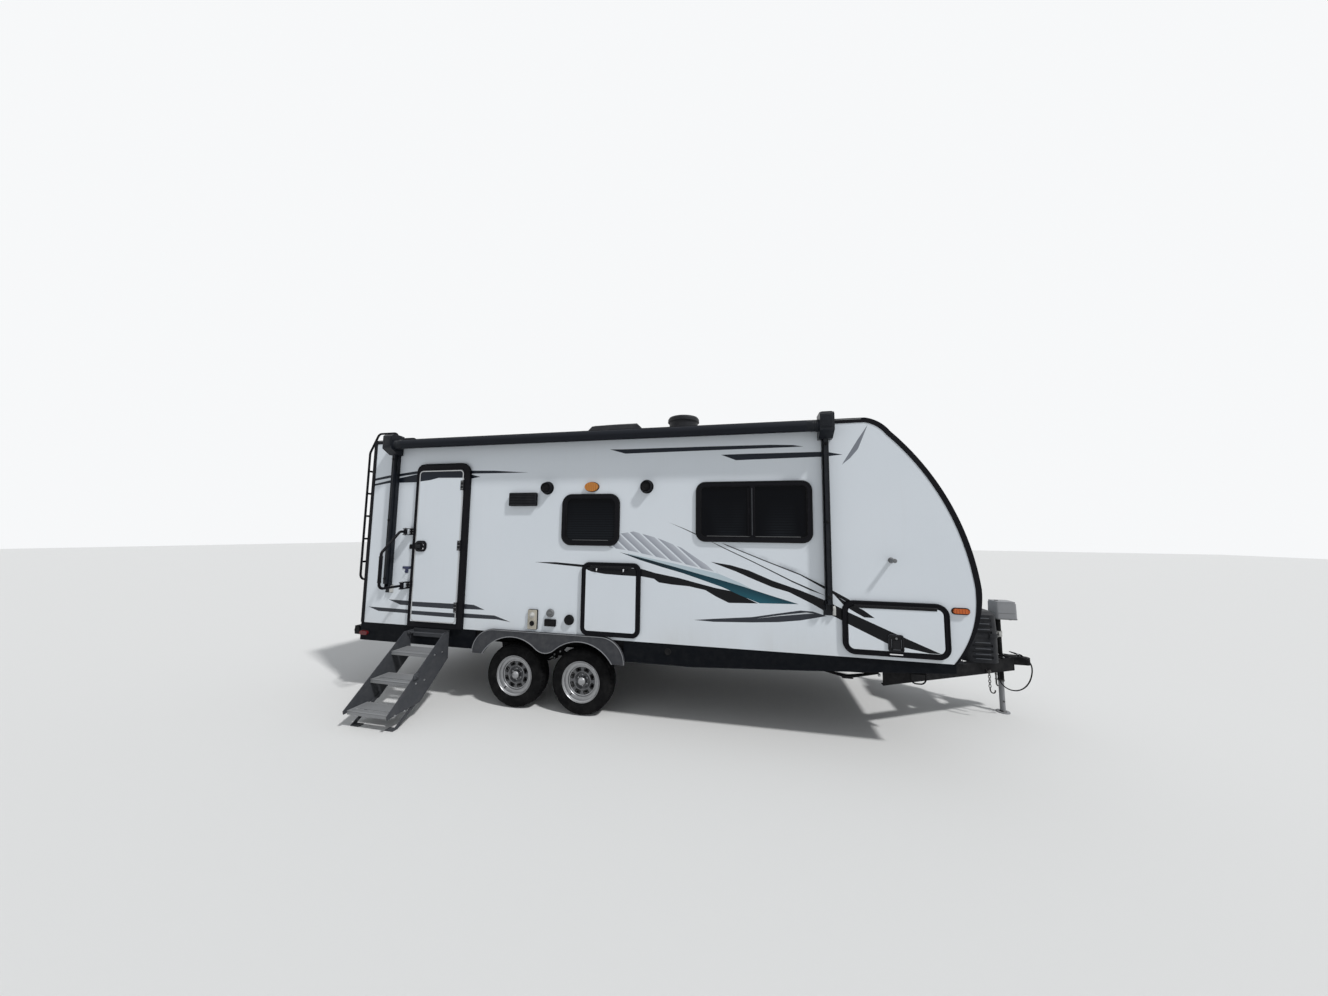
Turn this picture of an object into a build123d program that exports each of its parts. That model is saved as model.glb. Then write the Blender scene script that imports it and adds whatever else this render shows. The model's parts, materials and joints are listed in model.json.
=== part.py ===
import math
import os

from build123d import *

# Travel caravan on two axles: X forward to the hitch, door side at -Y, Z up, millimetres.
# Lengthwise sizes count from midway between the two axles, cross sizes from the centreline.

# Body shell
half_width = 1220.0
wall = 45.0
rear_x = -2416.0
base_z = 800.0
roof_z = 2990.0
brow_x = 3180.0
slope_run = 210.0
slope_drop = 137.0
nose_run = 871.0
nose_z = 1440.0
chin_back = 220.0
brow_bow = 25.0
face_bow = 133.0
chin_bow = 61.0
trim_thick = 4.0
trim_side = 42.0
trim_top = 40.0
awning_rail_drop = 60.0
awning_rail_height = 26.0
awning_rail_proud = 10.0

# Floor, skirt and running gear covers
floor_thick = 56.0
skirt_thick = 20.0
skirt_z = 600.0
skirt_step_x = 1576.0
skirt_mid_x = 2550.0
skirt_mid_z = 650.0
skirt_front_z = 725.0
fender_top_z = 829.0
fender_end_z = 565.0
fender_half = 876.0
fender_corner = 255.0
fender_arch = 425.0
fender_dip = 172.0
fender_drop = 50.0
fender_proud = 30.0
fender_plate = 4.0
fender_bead = 16.0

# Chassis
rail_y = 855.0
rail_width = 70.0
rail_height = 152.0
rail_web = 6.0
rail_nose_gap = 91.0
bumper_size = 100.0
bumper_drop = 1.0
bumper_tail = 134.0
bumper_inset = 40.0
bumper_cap = 12.0
cross_width = 60.0
cross_gauge = 5.0
cross_count = 8
drawbar_height = 127.0
drawbar_flange = 50.0
drawbar_web = 7.0
drawbar_overlap = 481.0
drawbar_run = 1540.0
drawbar_tip_half = 65.0
socket_radius = 52.0
ball_radius = 29.4
ball_clearance = 0.3
ball_depth = 48.0
ball_reach = 126.0
coupler_half = 50.0
coupler_depth = 72.0
coupler_plate = 8.0
coupler_rear = 145.0
latch_lever = 118.0
latch_lift = 26.0
latch_nose = 20.0
latch_root = 60.0
latch_tip = 12.0
latch_lip = 6.0
jack_reach = 100.0
jack_radius = 28.5
jack_leg_radius = 25.0
jack_foot_radius = 62.0
jack_foot_thick = 8.0
jack_tube_z = 330.0
jack_head_z = 1000.0
jack_head_top = 1187.0
jack_head_reach = 52.0
jack_head_length = 206.0
jack_head_width = 170.0
jack_head_round = 28.0
jack_head_cap = 20.0
jack_head_lean = 12.0

# Corner steadies, folded up under the rails: distance from each end of the rails
steady_rear_in = 420.0
steady_front_in = 700.0
steady_length = 560.0
steady_width = 50.0
steady_channel = 26.0
steady_fold = 58.0
steady_arm = 16.0

# Wheels and axles
axle_half_gap = 386.5
tyre_radius = 338.0
tyre_width = 198.0
tyre_tread_half = 85.0
tyre_wide_radius = 322.0
bead_radius = 190.5
bead_half = 79.0
rim_flange_radius = 208.0
rim_flange = 8.0
rim_gauge = 7.0
rim_cone = 16.0
rim_lip = 3.0
well_y = 62.0
well_radius = 156.0
rim_windows = 8
rim_window_radius = 121.0
rim_window_height = 36.0
rim_window_angle = 74.0
wheel_inset = 132.0
disc_y = 20.0
disc_crown = 28.0
disc_gauge = 8.0
hub_flat = 70.0
hub_edge = 8.0
hub_radius = 41.0
hub_reach = 58.0
rim_window_width = 46.0
axle_radius = 38.0
drum_radius = 127.0
drum_depth = 72.0
backing_radius = 138.0
backing_gauge = 6.0

# Leaf springs over the axles, with hangers and an equaliser between them
spring_width = 45.0
spring_half = 318.0
spring_rise = 56.0
leaf_gauge = 6.5
leaf_halves = [318.0, 262.0, 196.0, 128.0]
spring_pad = 10.0
eye_radius = 16.0
bolt_radius = 7.5
bolt_play = 0.3
tie_plate = 9.0
tie_half_length = 66.0
tie_half_width = 42.0
clamp_gauge = 11.0
hanger_gauge = 7.0
hanger_gap = 1.0
rocker_gauge = 16.0
rocker_rise = 78.0
rocker_strap = 40.0
hanger_foot = 44.0
rocker_foot = 70.0
eye_margin = 4.0
bolt_end = 4.0

# Entry door
door_x0 = -1740.0
door_x1 = -1016.0
door_top_z = 2676.0
door_radius = 130.0
door_band_latch = 35.0
door_band_hinge = 75.0
door_band_top = 75.0
door_sill = 50.0
frame_proud = 30.0
frame_lip = 25.0
spigot = 8.0
leaf_gap = 6.0
door_barrel = 7.5
hinge_play = 0.3
door_hinge_in = 180.0
door_hinge_long = 120.0
door_hinge_leaf = 36.0
door_hinge_gauge = 3.0
latch_corner = 50.0
latch_in = 8.0
latch_width = 150.0
latch_height = 125.0
latch_proud = 14.0
latch_z = 1710.0
paddle_width = 92.0
paddle_height = 62.0
paddle_proud = 14.0

# Grab handle beside the door
handle_x = -1785.0
handle_low_z = 1258.0
handle_high_z = 1876.0
handle_radius = 14.0
handle_axis = 92.0
handle_reach = 378.0
grip_radius = 18.0
handle_root = 16.0
handle_neck = 70.0
handle_slope = 232.0
handle_bend = 52.0
sleeve_radius = 20.0
grip_low_z = 1330.0
grip_high_z = 1600.0
bracket_size = 56.0
bracket_gauge = 8.0
bracket_gap = 35.0
pin_radius = 6.0

# Steps below the door
step_x0 = -1680.0
step_x1 = -1172.0
step_plate = 8.0
step_axis_out = 70.0
step_axis_z = 745.0
step_pin = 8.0
ear_rise = 16.0
ear_reach = 46.0
pin_clearance = 0.4
step_first_out = 270.0
step_first_z = 590.0
step_run = 223.0
step_rise = 214.0
step_depth = 205.0
step_thick = 36.0
step_count = 3
foot_half = 45.0
foot_out = 642.0
foot_depth = 60.0
foot_gauge = 8.0
leg_top = 362.0
leg_depth = 44.0
stringer_tip = 38.0
stringer_nose = 32.0
stringer_drop = 26.0
stringer_low_out = 380.0
stringer_low_in = 24.0
stringer_heel = 262.0
mount_width_gap = 24.0
mount_gauge = 10.0
mount_height = 90.0
mount_lug = 22.0
mount_lug_gauge = 8.0
tread_gauge = 6.0
tread_slot = 15.0
tread_slot_in = 62.0
tread_margin = 34.0

# Windows: centre x, centre z, width, height, corner radius, mullion x or none
window_band = 45.0
window_proud = 18.0
glass_thick = 6.0
mullion_width = 48.0
WINDOWS_DOOR = [
    (465.5, 2025.5, 653.0, 549.0, 110.0, None),
    (2146.0, 2109.0, 1108.0, 598.0, 95.0, 2148.0),
]
WINDOWS_ROAD = [
    (-1250.0, 2025.5, 653.0, 549.0, 110.0, None),
    (1300.0, 2109.0, 1108.0, 598.0, 95.0, 1302.0),
]

# Outside hatches: centre x, centre z, width, height, corner radius
hatch_band = 42.0
hatch_proud = 24.0
HATCH = (710.5, 1206.5, 639.0, 747.0, 80.0)
BAY_SIZES = (1068.5, 861.0, 471.0, 100.0)
bay_nose_gap = 468.5
hinge_barrel = 6.0
hinge_set = 4.0
lid_latch_proud = 18.0
lid_latch_width = 120.0
lid_latch_height = 142.0
lid_latch_z = 118.0
lid_latch_rim = 12.0

# Awning on the door side
awning_x0 = -2046.0
awning_x1 = 2820.0
arm_width = 60.0
arm_depth = 75.0
arm_gauge = 5.0
arm_channel = 46.0
arm_inner = 38.0
arm_low_z = 1205.0
arm_elbow_z = 2010.0
arm_high_z = 2850.0
arm_pin = 8.0
arm_foot = 92.0
head_width = 126.0
head_depth = 175.0
head_top_z = 3022.0
head_round = 22.0
roller_radius = 52.0
roller_z = 2905.0
roller_out = 112.0
roller_cap = 57.0
roller_cap_thick = 18.0
cloth_gauge = 4.0

# Roof units
ac_x0 = 0.0
ac_x1 = 850.0
ac_half = 350.0
ac_height = 360.0
ac_rear_height = 318.0
ac_shoulder = 70.0
ac_slots = 7
ac_slot_width = 12.0
ac_slot_pitch = 34.0
ac_slot_depth = 16.0
ac_flange = 14.0
ac_back_rise = 90.0
ac_back_run = 60.0
ac_ramp_end = 300.0
ac_flat_start = 420.0
ac_nose = 190.0
ac_ramp_drop = 8.0
dome_x = 1393.0
dome_inset = 400.0
dome_radius = 176.0
dome_height = 215.0
dome_waist = 160.0
dome_lid = 74.0
# Roof vents: x, y, width
ROOF_VENTS = [(-1180.0, 320.0, 430.0), (2320.0, -260.0, 430.0)]
vent_height = 78.0
vent_curb = 22.0
PIPE_VENTS = [(-620.0, 780.0), (620.0, 860.0)]
pipe_vent_radius = 48.0
pipe_vent_height = 70.0

# Ladder on the rear wall
ladder_inset = 70.0
ladder_width = 280.0
ladder_out = 150.0
ladder_radius = 12.5
ladder_low_z = 1290.0
ladder_top_z = 3100.0
ladder_bend_z = 2860.0
ladder_peak_back = 29.0
ladder_land_in = 256.0
ladder_foot_radius = 30.0
ladder_foot_thick = 5.0
ladder_foot_bend = 60.0
ladder_top_bend = 90.0
rung_radius = 11.0
ladder_rung_count = 5
rung_first = 210.0
rung_pitch = 282.0

# Drawbar equipment
gas_back = 600.0
gas_length = 360.0
gas_half = 340.0
gas_corner = 96.0
gas_top_z = 1110.0
gas_belt_z = 850.0
gas_belt_height = 26.0
gas_belt_proud = 7.0
gas_taper = 2.5
gas_crown = 34.0
gas_slot_count = 3
gas_slot_height = 26.0
gas_slot_pitch = 58.0
gas_slot_depth = 12.0
gas_slot_side = 190.0
gas_slot_front = 440.0
battery_gap = 28.0
battery_length = 177.0
battery_half = 165.0
battery_height = 196.0
battery_lid = 34.0
battery_lip = 7.0
tray_thick = 5.0
tray_half = 440.0

# Tow lead: cable hanging from a gland under the drawbar to a plug resting on the coupler plate
lead_radius = 6.0
gland_radius = 12.0
gland_height = 22.0
plug_length = 70.0
plug_size = 32.0
# Route of the cable: x from the jack, y, z from the top of the rails
LEAD = [
    (-90.0, -138.0, -149.0), (-90.0, -138.0, -205.0), (-68.0, -145.0, -262.0), (-14.0, -152.0, -305.0),
    (60.0, -156.0, -312.0), (128.0, -158.0, -276.0), (176.0, -158.0, -212.0), (204.0, -155.0, -134.0),
    (214.0, -148.0, -66.0), (206.0, -134.0, -14.0), (170.0, -112.0, 18.0), (118.0, -89.0, 24.0),
    (60.0, -89.0, 24.0),
]

# Wall fittings
speaker_radius = 68.0
speaker_proud = 60.0
speaker_base = 16.0
speaker_nose = 50.0
speaker_recess = 12.0
SPEAKERS = [(-46.0, 2370.0), (1079.0, 2370.0)]
# Flat boxes on the walls: side, centre x, centre z, width, height, corner radius, proud
WALL_BOXES = [
    ("door", -331.5, 2246.5, 331.0, 147.0, 12.0, 34.0),
    ("door", -160.0, 957.5, 110.0, 207.0, 10.0, 20.0),
    ("door", 44.0, 932.0, 128.0, 72.0, 8.0, 20.0),
    ("road", 1890.0, 1230.0, 560.0, 330.0, 14.0, 18.0),
    ("road", -1630.0, 1070.0, 330.0, 330.0, 14.0, 18.0),
    ("road", 1130.0, 1020.0, 240.0, 150.0, 14.0, 18.0),
]
# Louvres cut in road-side boxes: centre x, centre z, width, box front, count
WALL_LOUVRES = [
    (1890.0, 1230.0, 500.0, 18.0, 8),
    (1130.0, 1020.0, 180.0, 18.0, 4),
]
louvre_height = 13.0
louvre_pitch = 32.0
louvre_depth = 9.0
# Round caps on the walls: side, centre x, centre z, radius, proud
WALL_CAPS = [
    ("door", 40.0, 1032.0, 40.0, 22.0),
    ("door", 258.0, 973.0, 50.0, 24.0),
    ("road", -1130.0, 1000.0, 56.0, 24.0),
    ("road", -960.0, 1000.0, 44.0, 20.0),
]
# Holdback peg for a bay lid
peg_x_back = 473.0
peg_z = 1671.0
peg_radius = 15.0
peg_proud = 100.0

# Lamps
marker_proud = 26.0
AMBER_BACK = (-55.0, 1249.0, 130.0, 46.0)
RED_IN = (64.0, 680.0, 124.0, 54.0)
PORCH = (472.0, 2376.0, 76.0, 50.0)
tail_y = 1010.0
tail_z = 980.0
tail_width = 150.0
tail_height = 210.0
tail_proud = 28.0
top_lamp_width = 100.0
top_lamp_height = 34.0
top_lamp_drop = 95.0
top_lamp_pitch = 230.0
top_corner_in = 150.0

# Derived places
slope_x = brow_x + slope_run
slope_z = roof_z - slope_drop
nose_x = brow_x + nose_run
chin_x = nose_x - chin_back
rail_front_x = chin_x - rail_nose_gap
bumper_rear_x = rear_x - bumper_tail
bumper_half = half_width - bumper_inset
drawbar_rear_x = chin_x - drawbar_overlap
drawbar_tip_x = drawbar_rear_x + drawbar_run
ball_x = drawbar_tip_x + ball_reach
coupler_x = ball_x + socket_radius
jack_x = drawbar_tip_x - jack_reach
gas_x0 = drawbar_tip_x - gas_back
gas_x1 = gas_x0 + gas_length
battery_x1 = gas_x0 - battery_gap
battery_x0 = battery_x1 - battery_length
BAY = (chin_x - bay_nose_gap, *BAY_SIZES)
wheel_y = half_width - wheel_inset
dome_y = dome_inset - half_width
ladder_y0 = ladder_inset - half_width
ladder_y1 = ladder_y0 + ladder_width
ladder_peak_x = rear_x - ladder_peak_back
ladder_land_x = rear_x + ladder_land_in
floor_z = base_z - floor_thick
rail_z = floor_z - rail_height
drawbar_z = rail_z - drawbar_height
leaf_face = half_width + frame_proud
wheel_z = tyre_radius
ladder_x = rear_x - ladder_out
origin_x = (ladder_x - ladder_radius + coupler_x) / 2
step_tip_out = step_first_out + (step_count - 1) * step_run + stringer_tip
origin_y = (hatch_proud + lid_latch_proud - step_tip_out) / 2

os.makedirs("parts", exist_ok=True)


def save(name, solid):
    placed = Pos(-origin_x, -origin_y, 0) * solid
    placed.label = name
    export_step(placed, f"parts/{name}.step")


def bowed(a, b, bow):
    """Point at the middle of the line from a to b, pushed to its left by bow."""
    dx, dz = b[0] - a[0], b[1] - a[1]
    length = math.hypot(dx, dz)
    return ((a[0] + b[0]) / 2 - dz / length * bow, (a[1] + b[1]) / 2 + dx / length * bow)


def plate_between(x0, x1, z0, z1, radius_top, radius_low):
    """Outline with rounded corners, drawn on the side plane."""
    with BuildSketch() as outline:
        with Locations(((x0 + x1) / 2, (z0 + z1) / 2)):
            Rectangle(x1 - x0, z1 - z0)
        corners = outline.vertices().sort_by(Axis.Y)
        if radius_low > 0:
            fillet(corners[:2], radius_low)
        if radius_top > 0:
            fillet(outline.vertices().sort_by(Axis.Y)[-2:], radius_top)
    return outline.sketch_local


def side_plane(y):
    return Plane.XZ.offset(y)


def framed(x0, x1, z0, z1, radius_top, radius_low, bands, lip, proud):
    """Flange outside the wall and a spigot through it, for a door, hatch or window."""
    left, right, low, top = bands
    inner_top = max(radius_top - top, 12.0)
    inner_low = max(radius_low - low, 12.0)
    with BuildPart() as frame:
        with BuildSketch(side_plane(half_width)):
            add(plate_between(x0, x1, z0, z1, radius_top, radius_low))
            add(plate_between(x0 + left, x1 - right, z0 + low, z1 - top, inner_top, inner_low),
                mode=Mode.SUBTRACT)
        extrude(amount=proud)
        with BuildSketch(side_plane(half_width)):
            add(plate_between(x0 + lip, x1 - lip, z0 + lip, z1 - lip,
                              max(radius_top - lip, 14.0), max(radius_low - lip, 14.0)))
            add(plate_between(x0 + lip + spigot, x1 - lip - spigot, z0 + lip + spigot, z1 - lip - spigot,
                              max(radius_top - lip - spigot, 10.0), max(radius_low - lip - spigot, 10.0)),
                mode=Mode.SUBTRACT)
        extrude(amount=-wall)
    return frame.part


def wall_hole(x0, x1, z0, z1, radius_top, radius_low, lip):
    return plate_between(x0 + lip, x1 - lip, z0 + lip, z1 - lip,
                         max(radius_top - lip, 14.0), max(radius_low - lip, 14.0))


def spread(row):
    x, z, width, height = row[:4]
    return x - width / 2, x + width / 2, z - height / 2, z + height / 2


def swept(points, radii, radius):
    """Round tube along straight runs joined by arcs."""
    with BuildPart() as tube:
        with BuildLine() as line:
            FilletPolyline(*points, radius=radii)
        with BuildSketch(Plane(origin=line.line @ 0, z_dir=line.line % 0)):
            Circle(radius)
        sweep(path=line.line)
    return tube.part


# Side outline of the body
crown = (brow_x, roof_z)
slope = (slope_x, slope_z)
nose = (nose_x, nose_z)
chin = (chin_x, base_z)
with BuildSketch() as body_face:
    with BuildLine():
        Polyline(chin, (rear_x, base_z), (rear_x, roof_z), crown)
        ThreePointArc(crown, bowed(crown, slope, brow_bow), slope)
        ThreePointArc(slope, bowed(slope, nose, face_bow), nose)
        ThreePointArc(nose, bowed(nose, chin, chin_bow), chin)
    make_face()
outline = body_face.sketch_local
inner = offset(outline, amount=-wall, kind=Kind.INTERSECTION)
far = 4 * roof_z

door_z0 = base_z
leaf_x0 = door_x0 + door_band_latch + leaf_gap
leaf_x1 = door_x1 - door_band_hinge - leaf_gap
leaf_z0 = door_z0 + door_sill + leaf_gap
leaf_z1 = door_top_z - door_band_top - leaf_gap
hinge_x = door_x1 - door_band_hinge + leaf_gap / 2
hinge_out = leaf_face + door_barrel + hinge_play

# Side walls, with their openings cut
for side, windows, doors in (("door", WINDOWS_DOOR, [HATCH, BAY]), ("road", WINDOWS_ROAD, [BAY])):
    with BuildPart() as side_wall:
        with BuildSketch(side_plane(half_width)):
            add(outline)
            for row in windows + doors:
                x0, x1, z0, z1 = spread(row)
                add(wall_hole(x0, x1, z0, z1, row[4], row[4], frame_lip), mode=Mode.SUBTRACT)
            if side == "door":
                add(wall_hole(door_x0, door_x1, door_z0, door_top_z, door_radius, 0, frame_lip),
                    mode=Mode.SUBTRACT)
        extrude(amount=-wall)
        if side == "road":
            mirror(about=Plane.XZ, mode=Mode.REPLACE)
    save(f"side_wall_{side}", side_wall.part)

# Front wall, roof and rear wall, between the side walls
inner_half = half_width - wall
with BuildPart() as front_wall:
    with BuildSketch(side_plane(inner_half)):
        add(outline)
        add(inner, mode=Mode.SUBTRACT)
        add(Pos(0, -wall) * inner, mode=Mode.SUBTRACT)
        with Locations((brow_x + far / 2, roof_z)):
            Rectangle(far, far, mode=Mode.INTERSECT)
    extrude(amount=-2 * inner_half)
save("front_wall", front_wall.part)

with BuildPart() as roof:
    with Locations(((rear_x + brow_x) / 2, 0, roof_z - wall / 2)):
        Box(brow_x - rear_x, 2 * inner_half, wall)
save("roof", roof.part)

with BuildPart() as rear_wall:
    with Locations((rear_x + wall / 2, 0, (base_z + roof_z - wall) / 2)):
        Box(wall, 2 * inner_half, roof_z - wall - base_z)
save("rear_wall", rear_wall.part)

floor_half = half_width - skirt_thick
with BuildPart() as floor:
    with Locations(((rear_x + chin_x) / 2, 0, base_z - floor_thick / 2)):
        Box(chin_x - rear_x, 2 * floor_half, floor_thick)
save("floor", floor.part)

# Black edge trim: a strip on the wall's rim that laps over roof, nose and rear edge
outer = offset(outline, amount=trim_thick, kind=Kind.INTERSECTION)
rim_inner = offset(outline, amount=-trim_side, kind=Kind.INTERSECTION)
with BuildPart() as edge_trims:
    with BuildSketch(side_plane(half_width)):
        add(outer)
        add(rim_inner, mode=Mode.SUBTRACT)
        add(Pos(0, -trim_side - 2 * trim_thick) * rim_inner, mode=Mode.SUBTRACT)
        with Locations(((rear_x + nose_x) / 2, base_z - far / 2)):
            Rectangle(far, far, mode=Mode.SUBTRACT)
    extrude(amount=trim_thick)
    with BuildSketch(side_plane(half_width)):
        add(outer)
        add(outline, mode=Mode.SUBTRACT)
        with Locations(((rear_x + nose_x) / 2, base_z - far / 2)):
            Rectangle(far, far, mode=Mode.SUBTRACT)
    extrude(amount=-trim_top)
    mirror(about=Plane.XZ)
save("edge_trims", edge_trims.part)

# Fenders and skirts; the wheel arches follow the wheels
with BuildSketch() as arches:
    with Locations((-axle_half_gap, wheel_z), (axle_half_gap, wheel_z)):
        Circle(fender_arch)
arch_cut = arches.sketch_local
dip_z = wheel_z + math.sqrt((fender_arch + fender_dip) ** 2 - axle_half_gap ** 2)
touch = fender_arch / (fender_arch + fender_dip)
dip_x = axle_half_gap * (1 - touch)
dip_touch_z = wheel_z + (dip_z - wheel_z) * touch
with BuildSketch() as saddle:
    with Locations((0, (dip_touch_z + wheel_z) / 2)):
        Rectangle(2 * dip_x, dip_touch_z - wheel_z)
    with Locations((0, dip_z)):
        Circle(fender_dip, mode=Mode.SUBTRACT)
wheel_window = saddle.sketch_local

with BuildPart() as skirts:
    with BuildSketch(side_plane(half_width)):
        with BuildLine():
            Polyline((rear_x, base_z), (rear_x, skirt_z), (skirt_step_x, skirt_z),
                     (skirt_mid_x, skirt_mid_z), (chin_x, skirt_front_z), (chin_x, base_z), close=True)
        make_face()
        with Locations((0, base_z)):
            Rectangle(2 * (fender_half - fender_bead), far, mode=Mode.SUBTRACT)
    extrude(amount=-skirt_thick)
    mirror(about=Plane.XZ)
save("skirts", skirts.part)

with BuildPart() as fenders:
    with BuildSketch(side_plane(half_width)):
        add(plate_between(-fender_half, fender_half, fender_end_z, fender_top_z, fender_corner, 0))
        add(arch_cut, mode=Mode.SUBTRACT)
        add(wheel_window, mode=Mode.SUBTRACT)
    extrude(amount=fender_proud)
    with BuildSketch(side_plane(half_width)):
        add(plate_between(-fender_half + fender_bead, fender_half - fender_bead,
                          fender_end_z - fender_drop, fender_top_z - fender_bead,
                          fender_corner - fender_bead, 0))
        with Locations((-axle_half_gap, wheel_z), (axle_half_gap, wheel_z)):
            Circle(fender_arch + fender_bead, mode=Mode.SUBTRACT)
    extrude(amount=fender_proud - fender_plate, mode=Mode.SUBTRACT)
    mirror(about=Plane.XZ)
save("fenders", fenders.part)

# Main rails, joists, bumper
rail_rear_x = bumper_rear_x + bumper_size
rail_length = rail_front_x - rail_rear_x
rail_mid_x = (rail_rear_x + rail_front_x) / 2
with BuildPart() as rails:
    with Locations(*[(rail_mid_x, y, rail_z + rail_height / 2) for y in (-rail_y, rail_y)]):
        Box(rail_length, rail_width, rail_height)
        with Locations((0, (rail_width + rail_web) / 4, 0), (0, -(rail_width + rail_web) / 4, 0)):
            Box(rail_length, (rail_width - rail_web) / 2, rail_height - 2 * rail_web, mode=Mode.SUBTRACT)
save("rails", rails.part)

joist_half = rail_y - rail_width / 2
joist_pitch = (rail_length - 2 * bumper_size) / (cross_count - 1)
with BuildPart() as crossmembers:
    with Locations(*[(rail_rear_x + bumper_size + i * joist_pitch, 0, floor_z - cross_width / 2)
                     for i in range(cross_count)]):
        Box(cross_width, 2 * joist_half, cross_width)
        with Locations((cross_gauge, 0, 0)):
            Box(cross_width, 2 * joist_half, cross_width - 2 * cross_gauge, mode=Mode.SUBTRACT)
save("crossmembers", crossmembers.part)

bumper_x = bumper_rear_x + bumper_size / 2
bumper_z = floor_z - bumper_drop - bumper_size / 2
with BuildPart() as rear_bumper:
    with Locations((bumper_x, 0, bumper_z)):
        Box(bumper_size, 2 * bumper_half, bumper_size)
    fillet(rear_bumper.edges().filter_by(Axis.Y), 10)
    with Locations(Location((bumper_x, 0, bumper_z), (90, 0, 0))):
        Cylinder(bumper_size / 2 - 8, 2 * (bumper_half + bumper_cap))
save("rear_bumper", rear_bumper.part)

# Corner steadies: channel under the rail, two arms folded flat and the pad between them
steady_z = rail_z - steady_channel
with BuildPart() as steadies:
    for x in (rail_rear_x + steady_rear_in, rail_front_x - steady_front_in):
        half = steady_length / 2
        with BuildSketch(side_plane(rail_y - steady_width / 2)):
            with Locations((x, rail_z - steady_channel / 2)):
                Rectangle(steady_length, steady_channel)
            for way in (-1, 1):
                with BuildLine():
                    Polyline((x + way * half, steady_z), (x + way * (half - steady_arm), steady_z),
                             (x, steady_z - steady_fold + steady_arm), (x, steady_z - steady_fold),
                             (x + way * steady_width / 2, steady_z - steady_fold), close=True)
                make_face()
            with Locations((x, steady_z - steady_fold - steady_arm / 4)):
                Rectangle(2 * steady_width, steady_arm / 2)
        extrude(amount=steady_width)
    mirror(about=Plane.XZ)
save("steadies", steadies.part)

# Drawbar channels, converging on the coupler
drawbar_rear_half = rail_y + rail_width / 2
drawbar_slope = math.hypot(drawbar_run, drawbar_rear_half - drawbar_tip_half) / drawbar_run
with BuildPart() as drawbars:
    for inset, low, high, mode in (
        (0.0, 0.0, drawbar_height, Mode.ADD),
        (drawbar_web, drawbar_web, drawbar_height - drawbar_web, Mode.SUBTRACT),
    ):
        shift = inset * drawbar_slope
        span = drawbar_flange * drawbar_slope
        with BuildSketch(Plane.XY.offset(drawbar_z + low)):
            with BuildLine():
                Polyline((drawbar_rear_x, -(drawbar_rear_half - shift)),
                         (drawbar_tip_x, -(drawbar_tip_half - shift)),
                         (drawbar_tip_x, -(drawbar_tip_half - span - shift)),
                         (drawbar_rear_x, -(drawbar_rear_half - span - shift)), close=True)
            make_face()
        extrude(amount=high - low, mode=mode)
    mirror(about=Plane.XZ)
save("drawbars", drawbars.part)


def drawbar_half(x):
    """Outer half width over the drawbars at a place along them."""
    share = (drawbar_tip_x - x) / drawbar_run
    return drawbar_tip_half + share * (drawbar_rear_half - drawbar_tip_half)


# Coupler: gusset plate over the channels, nose with its ball socket, latch lever
coupler_z = rail_z - coupler_depth
plate_x0 = drawbar_tip_x - coupler_rear
with BuildPart() as coupler:
    with Locations(((drawbar_tip_x + ball_x) / 2, 0, (coupler_z + rail_z) / 2)):
        Box(ball_x - drawbar_tip_x, 2 * coupler_half, coupler_depth)
    with Locations((ball_x, 0, (coupler_z + rail_z) / 2)):
        Cylinder(socket_radius, coupler_depth)
    with BuildSketch(Plane.XY.offset(rail_z)):
        with BuildLine():
            Polyline((plate_x0, -drawbar_half(plate_x0)), (drawbar_tip_x, -drawbar_tip_half),
                     (ball_x, -coupler_half), (ball_x, coupler_half), (drawbar_tip_x, drawbar_tip_half),
                     (plate_x0, drawbar_half(plate_x0)), close=True)
        make_face()
    extrude(amount=coupler_plate)
    with BuildSketch(side_plane(-latch_lift / 2)):
        with BuildLine():
            Polyline((ball_x, rail_z), (ball_x - latch_nose, rail_z + latch_lift),
                     (ball_x - latch_lever, rail_z + 2 * latch_lift),
                     (ball_x - latch_lever - latch_tip, rail_z + 2 * latch_lift - latch_lip),
                     (ball_x - latch_root, rail_z + latch_lift - latch_lip), (ball_x - latch_root, rail_z),
                     close=True)
        make_face()
    extrude(amount=latch_lift)
    with Locations((jack_x, 0, rail_z)):
        Cylinder(jack_radius + 0.3, 4 * coupler_plate, mode=Mode.SUBTRACT)
    with Locations((ball_x, 0, coupler_z + ball_depth / 2)):
        Cylinder(ball_radius + ball_clearance, ball_depth, mode=Mode.SUBTRACT)
save("coupler", coupler.part)

# Jack: tube through the plate, leg, foot and powered head
with BuildPart() as jack_tube:
    with Locations((jack_x, 0, (jack_tube_z + jack_head_z) / 2)):
        Cylinder(jack_radius, jack_head_z - jack_tube_z)
    with Locations((jack_x, 0, rail_z + coupler_plate + 5)):
        Cylinder(jack_radius + 26, 10)
save("jack_tube", jack_tube.part)

with BuildPart() as jack_leg:
    with Locations((jack_x, 0, (jack_foot_thick + jack_tube_z) / 2)):
        Cylinder(jack_leg_radius, jack_tube_z - jack_foot_thick)
    with Locations((jack_x, 0, jack_foot_thick / 2)):
        Cylinder(jack_foot_radius, jack_foot_thick)
save("jack_leg", jack_leg.part)

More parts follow.
